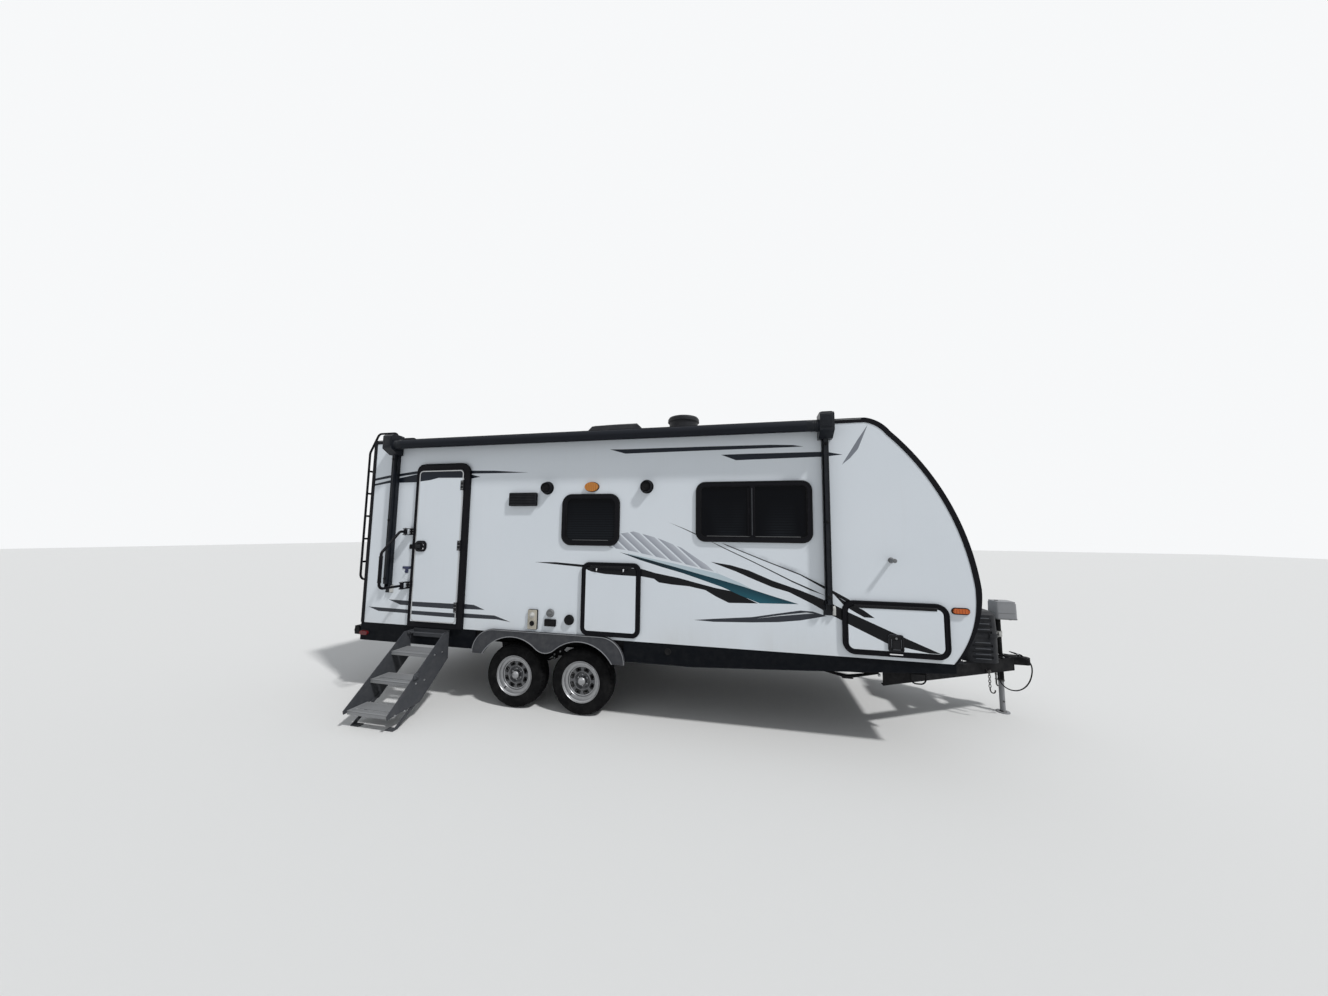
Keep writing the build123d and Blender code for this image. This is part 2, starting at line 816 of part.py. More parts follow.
head_mid_x = jack_x + jack_head_reach
with BuildPart() as jack_head:
    with BuildSketch(Plane.XY.offset(jack_head_z)):
        with Locations((head_mid_x, 0)):
            RectangleRounded(jack_head_length, jack_head_width, jack_head_round)
    extrude(amount=jack_head_top - jack_head_z - jack_head_cap)
    with BuildSketch(Plane.XY.offset(jack_head_top - jack_head_cap)):
        with Locations((head_mid_x, 0)):
            RectangleRounded(jack_head_length - 14, jack_head_width - 14, jack_head_round - 6)
    extrude(amount=jack_head_cap)
    with BuildSketch(Plane.XZ):
        with BuildLine():
            Polyline((head_mid_x - jack_head_length / 2, jack_head_z),
                     (head_mid_x + jack_head_length / 2, jack_head_z),
                     (head_mid_x + jack_head_length / 2 - jack_head_lean, jack_head_top),
                     (head_mid_x - jack_head_length / 2 + jack_head_lean, jack_head_top), close=True)
        make_face()
    extrude(amount=jack_head_width, both=True, mode=Mode.INTERSECT)
save("jack_head", jack_head.part)

# Wheels
with BuildPart() as tyre:
    with BuildSketch(Plane.YZ):
        with BuildLine():
            Polyline((-tyre_width / 2, rim_flange_radius), (tyre_width / 2, rim_flange_radius),
                     (tyre_width / 2, tyre_wide_radius), (tyre_tread_half, tyre_radius),
                     (-tyre_tread_half, tyre_radius), (-tyre_width / 2, tyre_wide_radius), close=True)
        make_face()
    revolve(axis=Axis.Y)

flange_out = bead_half + rim_flange
disc_face = disc_y + disc_crown
with BuildPart() as rim:
    with BuildSketch(Plane.YZ):
        with BuildLine():
            Polyline((-flange_out, rim_flange_radius), (flange_out, rim_flange_radius),
                     (flange_out, rim_flange_radius - rim_gauge), (bead_half, bead_radius),
                     (well_y, bead_radius), (well_y, well_radius), (disc_face - disc_gauge, well_radius),
                     (disc_face - disc_gauge, bead_radius + rim_gauge),
                     (-flange_out, bead_radius + rim_gauge), close=True)
        make_face()
        with BuildLine():
            Polyline((disc_y, 0), (disc_y, hub_flat), (disc_face, hub_flat + rim_cone),
                     (disc_face, well_radius + rim_lip), (disc_face - disc_gauge, well_radius + rim_lip),
                     (disc_face - disc_gauge, hub_flat + rim_cone + rim_lip),
                     (disc_y - disc_gauge, hub_flat + rim_lip),
                     (disc_y - disc_gauge, 0), close=True)
        make_face()
        with BuildLine():
            Polyline((disc_y, 0), (disc_y + hub_reach, 0), (disc_y + hub_reach, hub_radius - hub_edge),
                     (disc_y + hub_reach - hub_edge, hub_radius), (disc_y, hub_radius), close=True)
        make_face()
    revolve(axis=Axis.Y)
    with BuildSketch(Plane.XZ):
        with PolarLocations(0, rim_windows, start_angle=180 / rim_windows):
            with Locations((rim_window_radius, 0)):
                Trapezoid(rim_window_width, rim_window_height, rim_window_angle, rotation=-90)
    extrude(amount=-bead_half, mode=Mode.SUBTRACT)

WHEELS = [
    ("rear_door", -axle_half_gap, -1), ("front_door", axle_half_gap, -1),
    ("rear_road", -axle_half_gap, 1), ("front_road", axle_half_gap, 1),
]
for name, x, sign in WHEELS:
    turn = 0 if sign > 0 else 180
    save(f"tyre_{name}", Pos(x, sign * wheel_y, wheel_z) * Rot(0, 0, turn) * tyre.part)
    save(f"rim_{name}", Pos(x, sign * wheel_y, wheel_z) * Rot(0, 0, turn) * rim.part)

# Axles with brake drums, backing plates and spring pads
axle_end = wheel_y + disc_y - disc_gauge - 0.5
seat_z = wheel_z + axle_radius + spring_pad
with BuildPart() as axles:
    for x in (-axle_half_gap, axle_half_gap):
        with Locations(Location((x, 0, wheel_z), (90, 0, 0))):
            Cylinder(axle_radius, 2 * axle_end)
        for sign in (-1, 1):
            with Locations(Location((x, sign * (axle_end - drum_depth / 2), wheel_z), (90, 0, 0))):
                Cylinder(drum_radius, drum_depth)
            with Locations(Location((x, sign * (axle_end - drum_depth - backing_gauge / 2), wheel_z),
                                    (90, 0, 0))):
                Cylinder(backing_radius, backing_gauge)
            with Locations((x, sign * rail_y, wheel_z + (axle_radius + spring_pad) / 2)):
                Box(2 * axle_radius, spring_width, axle_radius + spring_pad)
save("axles", axles.part)

# Leaf packs: graduated leaves under a main leaf with rolled eyes, a tie plate and two clamps
pack_height = len(leaf_halves) * leaf_gauge
main_z = seat_z + pack_height - leaf_gauge
spring_sag = spring_rise - eye_radius + leaf_gauge
spring_curve = (spring_half ** 2 + spring_sag ** 2) / (2 * spring_sag)
eye_z = main_z + spring_rise
pack_top_z = seat_z + pack_height
with BuildPart() as leaf_pack:
    for i in range(len(leaf_halves)):
        under = spring_curve + i * leaf_gauge
        with BuildSketch(Plane.XZ.offset(-spring_width / 2)):
            with Locations((0, main_z + leaf_gauge + spring_curve - leaf_gauge)):
                Circle(under)
                Circle(under - leaf_gauge, mode=Mode.SUBTRACT)
            with Locations((0, main_z)):
                Rectangle(2 * leaf_halves[i], 2 * spring_rise + 4 * pack_height, mode=Mode.INTERSECT)
        extrude(amount=spring_width)
    for x in (-spring_half, spring_half):
        with Locations(Location((x, 0, eye_z), (90, 0, 0))):
            Cylinder(eye_radius, spring_width)
            Cylinder(bolt_radius + bolt_play, spring_width, mode=Mode.SUBTRACT)
    with Locations((0, 0, pack_top_z + tie_plate / 2)):
        Box(2 * tie_half_length, 2 * tie_half_width, tie_plate)
    clamp_y = spring_width / 2 + clamp_gauge / 2 + 1
    for y in (-clamp_y, clamp_y):
        with BuildSketch(Plane.XZ.offset(y - clamp_gauge / 2)):
            with Locations((0, wheel_z)):
                Circle(axle_radius + clamp_gauge + 0.5)
            with Locations((0, (wheel_z + pack_top_z) / 2)):
                Rectangle(2 * (axle_radius + clamp_gauge + 0.5), pack_top_z - wheel_z)
            with Locations((0, wheel_z)):
                Circle(axle_radius + 0.5, mode=Mode.SUBTRACT)
            with Locations((0, (wheel_z + pack_top_z) / 2)):
                Rectangle(2 * (axle_radius + 0.5), pack_top_z - wheel_z, mode=Mode.SUBTRACT)
        extrude(amount=clamp_gauge)
with BuildPart() as springs:
    with Locations(*[(x, y, 0) for x in (-axle_half_gap, axle_half_gap) for y in (-rail_y, rail_y)]):
        add(leaf_pack.part)
save("springs", springs.part)

# Hangers at the outer eyes, and the rocker that shares the load between the inner eyes
eye_reach = axle_half_gap - spring_half
outer_reach = axle_half_gap + spring_half
cheek = spring_width / 2 + hanger_gap + hanger_gauge / 2
eye_cheek = eye_radius + eye_margin
bolt_length = 2 * cheek + hanger_gauge + 2 * bolt_end
rocker_z = eye_z + rocker_rise
rocker_low_z = eye_z + rocker_strap
with BuildPart() as hanger_set:
    for x in (-outer_reach, outer_reach):
        for y in (-cheek, cheek):
            with BuildSketch(Plane.XZ.offset(y - hanger_gauge / 2)):
                with BuildLine():
                    Polyline((x - hanger_foot, rail_z), (x + hanger_foot, rail_z), (x + eye_cheek, eye_z),
                             (x + eye_cheek / 2, eye_z - eye_cheek), (x - eye_cheek / 2, eye_z - eye_cheek),
                             (x - eye_cheek, eye_z), close=True)
                make_face()
            extrude(amount=hanger_gauge)
        with Locations(Location((x, 0, eye_z), (90, 0, 0))):
            Cylinder(bolt_radius, bolt_length)
        with Locations((x, 0, rail_z - hanger_gauge / 2)):
            Box(2 * hanger_foot, 2 * cheek + hanger_gauge, hanger_gauge)
    for y in (-cheek, cheek):
        with BuildSketch(Plane.XZ.offset(y - hanger_gauge / 2)):
            with BuildLine():
                Polyline((-rocker_foot, rail_z), (rocker_foot, rail_z), (eye_cheek, rocker_z),
                         (eye_cheek / 2, rocker_z - eye_cheek), (-eye_cheek / 2, rocker_z - eye_cheek),
                         (-eye_cheek, rocker_z), close=True)
            make_face()
        extrude(amount=hanger_gauge)
        for x in (-eye_reach, eye_reach):
            with BuildSketch(Plane.XZ.offset(y - hanger_gauge / 2)):
                with BuildLine():
                    Polyline((x - eye_radius, eye_z), (x - eye_radius, rocker_low_z),
                             (x - eye_radius / 2, rocker_low_z + eye_radius),
                             (x + eye_radius / 2, rocker_low_z + eye_radius),
                             (x + eye_radius, rocker_low_z), (x + eye_radius, eye_z),
                             (x + eye_radius / 2, eye_z - eye_radius),
                             (x - eye_radius / 2, eye_z - eye_radius), close=True)
                make_face()
            extrude(amount=hanger_gauge)
    with Locations((0, 0, rail_z - hanger_gauge / 2)):
        Box(2 * rocker_foot, 2 * cheek + hanger_gauge, hanger_gauge)
    with BuildSketch(Plane.XZ.offset(-rocker_gauge / 2)):
        with BuildLine():
            Polyline((-eye_reach, rocker_low_z - eye_radius), (eye_reach, rocker_low_z - eye_radius),
                     (eye_reach, rocker_low_z + eye_radius), (eye_radius, rocker_z + eye_radius),
                     (-eye_radius, rocker_z + eye_radius), (-eye_reach, rocker_low_z + eye_radius),
                     close=True)
        make_face()
    extrude(amount=rocker_gauge)
    for x, z in ((0, rocker_z), (-eye_reach, rocker_low_z), (eye_reach, rocker_low_z),
                 (-eye_reach, eye_z), (eye_reach, eye_z)):
        with Locations(Location((x, 0, z), (90, 0, 0))):
            Cylinder(bolt_radius, bolt_length)
with BuildPart() as spring_hangers:
    with Locations((0, -rail_y, 0), (0, rail_y, 0)):
        add(hanger_set.part)
save("spring_hangers", spring_hangers.part)

# Entry door frame, leaf and latch
with BuildPart() as door_frame:
    add(framed(door_x0, door_x1, door_z0, door_top_z, door_radius, 0,
               (door_band_latch, door_band_hinge, door_sill, door_band_top), frame_lip, frame_proud))
save("door_frame", door_frame.part)

with BuildPart() as door_leaf:
    with BuildSketch(side_plane(leaf_face)):
        add(plate_between(leaf_x0, leaf_x1, leaf_z0, leaf_z1,
                          door_radius - door_band_top - leaf_gap, 8))
    extrude(amount=-wall)
    for z in (leaf_z0 + door_hinge_in, (leaf_z0 + leaf_z1) / 2, leaf_z1 - door_hinge_in):
        with Locations((hinge_x, -hinge_out, z)):
            Cylinder(door_barrel, door_hinge_long)
        with Locations((hinge_x - 10, -leaf_face - hinge_play - door_hinge_gauge / 2, z)):
            Box(20, door_hinge_gauge, door_hinge_long - 10)
        with Locations((leaf_x1 - door_hinge_leaf / 2, -leaf_face - (door_hinge_gauge + hinge_play) / 2, z)):
            Box(door_hinge_leaf, door_hinge_gauge + hinge_play, door_hinge_long - 10)
save("door_leaf", door_leaf.part)

with BuildPart() as door_latch:
    with BuildSketch(side_plane(leaf_face)):
        with Locations((leaf_x0 + latch_width / 2 + latch_in, latch_z)):
            RectangleRounded(latch_width, latch_height, latch_corner)
    extrude(amount=latch_proud)
    with BuildSketch(side_plane(leaf_face + latch_proud)):
        with Locations((leaf_x0 + latch_width / 2 + latch_in, latch_z)):
            RectangleRounded(paddle_width, paddle_height, 16)
    extrude(amount=paddle_proud, taper=18)
save("door_latch", door_latch.part)

# Grab handle: brackets on the wall and a bar that swings
with BuildPart() as handle_brackets:
    for z in (handle_low_z, handle_high_z):
        for lift in (-bracket_gap, bracket_gap):
            with BuildSketch(Plane.XY.offset(z + lift - bracket_gauge / 2)):
                with Locations((handle_x, -half_width - handle_axis / 2)):
                    Rectangle(bracket_size, handle_axis)
                with Locations((handle_x, -half_width - handle_axis)):
                    Circle(bracket_size / 2)
            extrude(amount=bracket_gauge)
        with Locations((handle_x, -half_width - 3, z)):
            Box(bracket_size, 6, 2 * bracket_gap + bracket_gauge)
        with Locations((handle_x, -half_width - handle_axis, z)):
            Cylinder(pin_radius, 2 * bracket_gap + bracket_gauge)
save("handle_brackets", handle_brackets.part)

axis_out = half_width + handle_axis
reach = half_width + handle_reach
with BuildPart() as grab_handle:
    add(swept([(handle_x, -axis_out - handle_root, handle_high_z),
               (handle_x, -axis_out - handle_neck, handle_high_z),
               (handle_x, -reach, handle_high_z - handle_slope), (handle_x, -reach, handle_low_z),
               (handle_x, -axis_out - handle_root, handle_low_z)], handle_bend, handle_radius))
    for z in (handle_low_z, handle_high_z):
        with Locations((handle_x, -axis_out, z)):
            Cylinder(sleeve_radius, 2 * bracket_gap - bracket_gauge - 4)
            Cylinder(pin_radius + pin_clearance, 2 * bracket_gap, mode=Mode.SUBTRACT)
    with Locations((handle_x, -reach, (grip_low_z + grip_high_z) / 2)):
        Cylinder(grip_radius, grip_high_z - grip_low_z)
save("grab_handle", grab_handle.part)

# Steps: mount with its pin, stringers, treads and legs
wall_y = -half_width
step_mid = (step_x0 + step_x1) / 2
step_inner = step_x1 - step_x0 - 2 * step_plate
with BuildPart() as step_mount:
    with Locations((step_mid, wall_y - mount_gauge / 2, step_axis_z - mount_gauge)):
        Box(step_inner - mount_width_gap, mount_gauge, mount_height)
    lug_in = step_plate + (mount_width_gap + mount_lug_gauge) / 2
    for x in (step_x0 + lug_in, step_x1 - lug_in):
        with BuildSketch(Plane.YZ.offset(x - mount_lug_gauge / 2)):
            with Locations((wall_y - step_axis_out / 2, step_axis_z)):
                Rectangle(step_axis_out, 2 * mount_lug)
            with Locations((wall_y - step_axis_out, step_axis_z)):
                Circle(mount_lug)
        extrude(amount=mount_lug_gauge)
    with Locations(Location((step_mid, wall_y - step_axis_out, step_axis_z), (0, 90, 0))):
        Cylinder(step_pin, step_x1 - step_x0 + step_pin)
save("step_mount", step_mount.part)

low_out = step_first_out + (step_count - 1) * step_run
low_z = step_first_z - (step_count - 1) * step_rise
with BuildPart() as step_stringers:
    for x in (step_x0, step_x1 - step_plate):
        with BuildSketch(Plane.YZ.offset(x)):
            with BuildLine():
                Polyline((wall_y - 30, step_axis_z + ear_rise),
                         (wall_y - step_axis_out - ear_reach, step_axis_z + ear_rise),
                         (wall_y - low_out - stringer_tip, low_z + tread_gauge),
                         (wall_y - low_out - stringer_nose, low_z - stringer_drop),
                         (wall_y - stringer_low_out, low_z - step_plate),
                         (wall_y - stringer_low_in, step_axis_z - stringer_heel), close=True)
            make_face()
            with Locations((wall_y - step_axis_out, step_axis_z)):
                Circle(step_pin + pin_clearance, mode=Mode.SUBTRACT)
        extrude(amount=step_plate)
    foot_far = wall_y - foot_out - foot_depth / 2
    foot_near = foot_far + foot_depth
    for x in (step_x0 + step_plate, step_x1 - step_plate - foot_gauge):
        with BuildSketch(Plane.YZ.offset(x)):
            with BuildLine():
                Polyline((wall_y - leg_top + leg_depth / 2, low_z + leg_depth),
                         (wall_y - leg_top - leg_depth / 2, low_z + leg_depth),
                         (foot_far, foot_gauge), (foot_far, 0), (foot_near, 0), (foot_near, foot_gauge),
                         close=True)
            make_face()
        extrude(amount=foot_gauge)
    for x in (step_x0 + step_plate + foot_half, step_x1 - step_plate - foot_half):
        with Locations((x, wall_y - foot_out, foot_gauge / 2)):
            Box(2 * foot_half, foot_depth, foot_gauge)
save("step_stringers", step_stringers.part)

with BuildPart() as step_treads:
    for i in range(step_count):
        out = step_first_out + i * step_run
        z = step_first_z - i * step_rise
        with Locations((step_mid, wall_y - out + step_depth / 2, z - tread_gauge / 2)):
            Box(step_inner, step_depth, tread_gauge)
        with Locations((step_mid, wall_y - out + tread_slot_in, z - tread_gauge / 2)):
            Box(step_inner - 2 * tread_margin, tread_slot, tread_gauge, mode=Mode.SUBTRACT)
        for y in (-out + tread_gauge / 2, -out + step_depth - tread_gauge / 2):
            with Locations((step_mid, wall_y + y, z - step_thick / 2)):
                Box(step_inner, tread_gauge, step_thick)
save("step_treads", step_treads.part)

# Windows with fixed panes
with BuildPart() as window_frames:
    for windows, flip in ((WINDOWS_DOOR, False), (WINDOWS_ROAD, True)):
        for row in windows:
            x0, x1, z0, z1 = spread(row)
            frame = framed(x0, x1, z0, z1, row[4], row[4], (window_band,) * 4, frame_lip, window_proud)
            add(mirror(frame, about=Plane.XZ) if flip else frame)
            if row[5] is not None:
                y = half_width + window_proud / 2
                with Locations((row[5], y if flip else -y, row[1])):
                    Box(mullion_width, window_proud, row[3] - 2 * window_band + 2)
save("window_frames", window_frames.part)

glass_inset = frame_lip + spigot + 1
with BuildPart() as window_glass:
    for windows, plane, way in ((WINDOWS_DOOR, side_plane(half_width), -1),
                                (WINDOWS_ROAD, side_plane(-half_width), 1)):
        for row in windows:
            x0, x1, z0, z1 = spread(row)
            with BuildSketch(plane):
                add(plate_between(x0 + glass_inset, x1 - glass_inset, z0 + glass_inset, z1 - glass_inset,
                                  row[4] - glass_inset, row[4] - glass_inset))
            extrude(amount=way * glass_thick)
save("window_glass", window_glass.part)

# Hatch frames and lids, hinged along their top edge
hatch_face = half_width + hatch_proud
lid_axis_out = hatch_face + hinge_barrel + hinge_play
edge = hatch_band + leaf_gap
for kind, row in (("service_hatch", HATCH), ("bay", BAY)):
    x0, x1, z0, z1 = spread(row)
    lid_top = z1 - edge
    axis_z = z1 - hatch_band + hinge_set
    with BuildPart() as frame:
        add(framed(x0, x1, z0, z1, row[4], row[4], (hatch_band,) * 4, frame_lip, hatch_proud))
        if kind == "bay":
            mirror(about=Plane.XZ)
    save("service_hatch_frame" if kind == "service_hatch" else "bay_frames", frame.part)
    with BuildPart() as lid:
        with BuildSketch(side_plane(hatch_face)):
            add(plate_between(x0 + edge, x1 - edge, z0 + edge, lid_top, row[4] - edge, row[4] - edge))
        extrude(amount=-wall)
        with Locations(Location((row[0], -lid_axis_out, axis_z), (0, 90, 0))):
            Cylinder(hinge_barrel, row[2] - 4 * edge)
        with Locations((row[0], -hatch_face - hinge_play - 1.25, axis_z - 8)):
            Box(row[2] - 4 * edge, 2.5, 16)
        with Locations((row[0], -hatch_face - 1.4, lid_top - 7)):
            Box(row[2] - 4 * edge, 2.8, 14)
        if kind == "bay":
            with BuildSketch(side_plane(hatch_face)):
                with Locations((row[0], z0 + lid_latch_z)):
                    RectangleRounded(lid_latch_width, lid_latch_height, 20)
            extrude(amount=lid_latch_proud)
            with BuildSketch(side_plane(hatch_face + lid_latch_proud)):
                with Locations((row[0], z0 + lid_latch_z)):
                    RectangleRounded(lid_latch_width - 2 * lid_latch_rim,
                                     lid_latch_height - 2 * lid_latch_rim, 12)
            extrude(amount=-lid_latch_proud / 2, mode=Mode.SUBTRACT)
            with Locations((row[0], -hatch_face - lid_latch_proud / 2, z0 + lid_latch_z - 10)):
                Box(lid_latch_width - 5 * lid_latch_rim, lid_latch_proud, lid_latch_height / 2)
    if kind == "service_hatch":
        save("service_hatch_lid", lid.part)
    else:
        save("bay_door_lid", lid.part)
        save("bay_road_lid", mirror(lid.part, about=Plane.XZ))

# Awning: arms nested in their wall channels, heads, roller with its cloth and the wall rail
with BuildPart() as awning_arms:
    for x in (awning_x0, awning_x1):
        with BuildSketch(Plane.XY.offset(arm_low_z)):
            with Locations((x, wall_y - arm_channel / 2)):
                Rectangle(arm_width, arm_channel)
            with Locations((x, wall_y - arm_channel / 2 - arm_gauge)):
                Rectangle(arm_width - 2 * arm_gauge, arm_channel, mode=Mode.SUBTRACT)
        extrude(amount=arm_high_z - arm_low_z)
        inner_y0 = wall_y - 2 * arm_gauge
        inner_y1 = wall_y - arm_depth
        with BuildSketch(Plane.XY.offset(arm_low_z + arm_width)):
            with Locations((x, (inner_y0 + inner_y1) / 2)):
                Rectangle(arm_inner, inner_y0 - inner_y1)
        extrude(amount=arm_high_z - arm_low_z - arm_width)
        for z in (arm_low_z + 1.5 * arm_width, arm_elbow_z, arm_high_z - arm_width):
            with Locations(Location((x, wall_y - arm_channel / 2, z), (0, 90, 0))):
                Cylinder(arm_pin, arm_width + 6)
        with Locations((x, wall_y - arm_gauge, arm_low_z)):
            Box(arm_foot, 2 * arm_gauge, arm_foot)
        with BuildSketch(Plane.YZ.offset(x - head_width / 2)):
            with BuildLine():
                Polyline((wall_y - trim_thick, arm_high_z - arm_width),
                         (wall_y - arm_depth, arm_high_z - arm_width),
                         (wall_y - head_depth, arm_high_z), (wall_y - head_depth, head_top_z - head_round),
                         (wall_y - head_depth + head_round, head_top_z),
                         (wall_y - trim_thick, head_top_z), close=True)
            make_face()
        extrude(amount=head_width)
save("awning_arms", awning_arms.part)

roller_x = (awning_x0 + awning_x1) / 2
roller_len = awning_x1 - awning_x0 - head_width
rail_top_z = roof_z - awning_rail_drop
cloth_y = wall_y - roller_out
with BuildPart() as awning_roller:
    with Locations(Location((roller_x, cloth_y, roller_z), (0, 90, 0))):
        Cylinder(roller_radius, roller_len)
    for way in (-1, 1):
        x = roller_x + way * (roller_len - roller_cap_thick) / 2
        with Locations(Location((x, cloth_y, roller_z), (0, 90, 0))):
            Cylinder(roller_cap, roller_cap_thick)
    with BuildSketch(Plane.YZ.offset(roller_x - roller_len / 2 + roller_cap_thick)):
        with BuildLine():
            Polyline((wall_y - awning_rail_proud, rail_top_z),
                     (wall_y - awning_rail_proud, rail_top_z - cloth_gauge),
                     (cloth_y, roller_z + roller_radius - cloth_gauge), (cloth_y, roller_z + roller_radius),
                     close=True)
        make_face()
    extrude(amount=roller_len - 2 * roller_cap_thick)
save("awning_roller", awning_roller.part)

with BuildPart() as awning_rail:
    with Locations((roller_x, wall_y - awning_rail_proud / 2, rail_top_z - awning_rail_height / 2 + 6)):
        Box(roller_len, awning_rail_proud, awning_rail_height)
save("awning_rail", awning_rail.part)

# Air conditioner: side profile crossed with the shouldered front profile, with louvres
ac_top = roof_z + ac_height
with BuildPart() as air_conditioner:
    with BuildSketch(Plane.XZ.offset(-ac_half)):
        with BuildLine():
            Polyline((ac_x0, roof_z), (ac_x0, roof_z + ac_rear_height - ac_back_rise),
                     (ac_x0 + ac_back_run, roof_z + ac_rear_height),
                     (ac_x0 + ac_ramp_end, ac_top - ac_ramp_drop), (ac_x0 + ac_flat_start, ac_top),
                     (ac_x1 - ac_nose, ac_top), (ac_x1, ac_top - ac_nose), (ac_x1, roof_z), close=True)
        make_face()
    extrude(amount=2 * ac_half)
    with BuildSketch(Plane.YZ):
        with BuildLine():
            Polyline((-ac_half, roof_z), (-ac_half, ac_top - 2 * ac_shoulder),
                     (ac_shoulder * 0.7 - ac_half, ac_top - ac_shoulder * 0.5),
                     (ac_shoulder * 2 - ac_half, ac_top), (ac_half - ac_shoulder * 2, ac_top),
                     (ac_half - ac_shoulder * 0.7, ac_top - ac_shoulder * 0.5),
                     (ac_half, ac_top - 2 * ac_shoulder), (ac_half, roof_z), close=True)
        make_face()
    extrude(amount=ac_x1, mode=Mode.INTERSECT)
    louvre_z = roof_z + ac_rear_height * 0.4
    with Locations((ac_x0 + ac_slots * ac_slot_pitch / 2 + 40, 0, louvre_z)):
        with GridLocations(ac_slot_pitch, 2 * ac_half, ac_slots, 2):
            Box(ac_slot_width, 2 * ac_slot_depth, ac_rear_height * 0.45, mode=Mode.SUBTRACT)
    with Locations(Location((ac_x0, 0, louvre_z), (0, 0, 90))):
        with GridLocations(ac_slot_pitch * 1.5, 1, 2 * ac_slots - 2, 1):
            Box(ac_slot_width, 2 * ac_slot_depth, ac_rear_height * 0.4, mode=Mode.SUBTRACT)
    with Locations(((ac_x0 + ac_x1) / 2, 0, roof_z + ac_flange / 2)):
        Box(ac_x1 - ac_x0 + 2 * ac_flange, 2 * (ac_half + ac_flange), ac_flange)
save("air_conditioner", air_conditioner.part)

with BuildPart() as dome_antenna:
    with BuildSketch(Plane.XZ):
        with BuildLine():
            Polyline((0, roof_z), (dome_waist, roof_z), (dome_waist, roof_z + dome_height - dome_lid),
                     (dome_radius, roof_z + dome_height - dome_lid + 12),
                     (dome_radius, roof_z + dome_height - 34), (dome_radius - 12, roof_z + dome_height - 14),
                     (dome_radius - 44, roof_z + dome_height - 4), (0, roof_z + dome_height), close=True)
        make_face()
    revolve(axis=Axis.Z)
save("dome_antenna", Pos(dome_x, dome_y, 0) * dome_antenna.part)

with BuildPart() as roof_vents:
    for x, y, width in ROOF_VENTS:
        with Locations((x, y, roof_z + vent_curb / 2)):
            Box(width, width, vent_curb)
        with BuildSketch(Plane.XY.offset(roof_z + vent_curb)):
            with Locations((x, y)):
                RectangleRounded(width - 24, width - 24, 30)
        extrude(amount=vent_height - vent_curb, taper=22)
    for x, y in PIPE_VENTS:
        with BuildSketch(Plane.XY.offset(roof_z)):
            with Locations((x, y)):
                Circle(pipe_vent_radius)
        extrude(amount=pipe_vent_height, taper=8)
save("roof_vents", roof_vents.part)

# Ladder: two bent tubes from the wall over the roof edge, with rungs and foot plates
ladder_join = ladder_low_z + 2 * ladder_foot_radius + ladder_radius
ladder_top_join = ladder_bend_z - rung_pitch / 2
with BuildPart() as ladder:
    for y in (ladder_y0, ladder_y1):
        add(swept([(rear_x, y, ladder_low_z), (ladder_x, y, ladder_low_z), (ladder_x, y, ladder_join)],
                  ladder_foot_bend, ladder_radius))
        with Locations((ladder_x, y, (ladder_join + ladder_top_join) / 2)):
            Cylinder(ladder_radius, ladder_top_join - ladder_join)
        add(swept([(ladder_x, y, ladder_top_join), (ladder_x, y, ladder_bend_z),
                   (ladder_peak_x, y, ladder_top_z), (ladder_land_x, y, ladder_top_z),
                   (ladder_land_x, y, roof_z)],
                  [ladder_top_bend, ladder_foot_bend, ladder_foot_bend], ladder_radius))
        with Locations(Location((rear_x - ladder_foot_thick / 2, y, ladder_low_z), (0, 90, 0))):
            Cylinder(ladder_foot_radius, ladder_foot_thick)
        with Locations((ladder_land_x, y, roof_z + ladder_foot_thick / 2)):
            Cylinder(ladder_foot_radius, ladder_foot_thick)
    for i in range(ladder_rung_count):
        z = ladder_low_z + rung_first + i * rung_pitch
        with Locations(Location((ladder_x, (ladder_y0 + ladder_y1) / 2, z), (90, 0, 0))):
            Cylinder(rung_radius, ladder_width)
save("ladder", ladder.part)

# Gas bottle cover: tapered shell halves, belt, crown, and stacked slots on front and sides
gas_mid_x = (gas_x0 + gas_x1) / 2
with BuildPart() as gas_cover:
    for low, high, proud, taper in (
        (rail_z, gas_belt_z, 0.0, 0.0),
        (gas_belt_z, gas_belt_z + gas_belt_height, gas_belt_proud, 0.0),
        (gas_belt_z + gas_belt_height, gas_top_z - gas_crown, 0.0, gas_taper),
    ):
        with BuildSketch(Plane.XY.offset(low)):
            with Locations((gas_mid_x, 0)):
                RectangleRounded(gas_length - 2 * gas_belt_proud + 2 * proud,
                                 2 * gas_half - 2 * gas_belt_proud + 2 * proud, gas_corner)
        extrude(amount=high - low, taper=taper)
    crown_face = gas_cover.faces().sort_by(Axis.Z)[-1]
    extrude(crown_face, amount=gas_crown, taper=48)
    for start in (rail_z + gas_slot_pitch, gas_belt_z + gas_belt_height + gas_slot_height):
        for i in range(gas_slot_count):
            z = start + i * gas_slot_pitch
            for y in (-gas_half, gas_half):
                with Locations((gas_mid_x, y, z)):
                    Box(gas_slot_side, 2 * gas_slot_depth + 2 * gas_belt_proud, gas_slot_height,
                        mode=Mode.SUBTRACT)
            with Locations((gas_x1, 0, z)):
                Box(2 * gas_slot_depth + 2 * gas_belt_proud, gas_slot_front, gas_slot_height,
                    mode=Mode.SUBTRACT)
save("gas_cover", gas_cover.part)

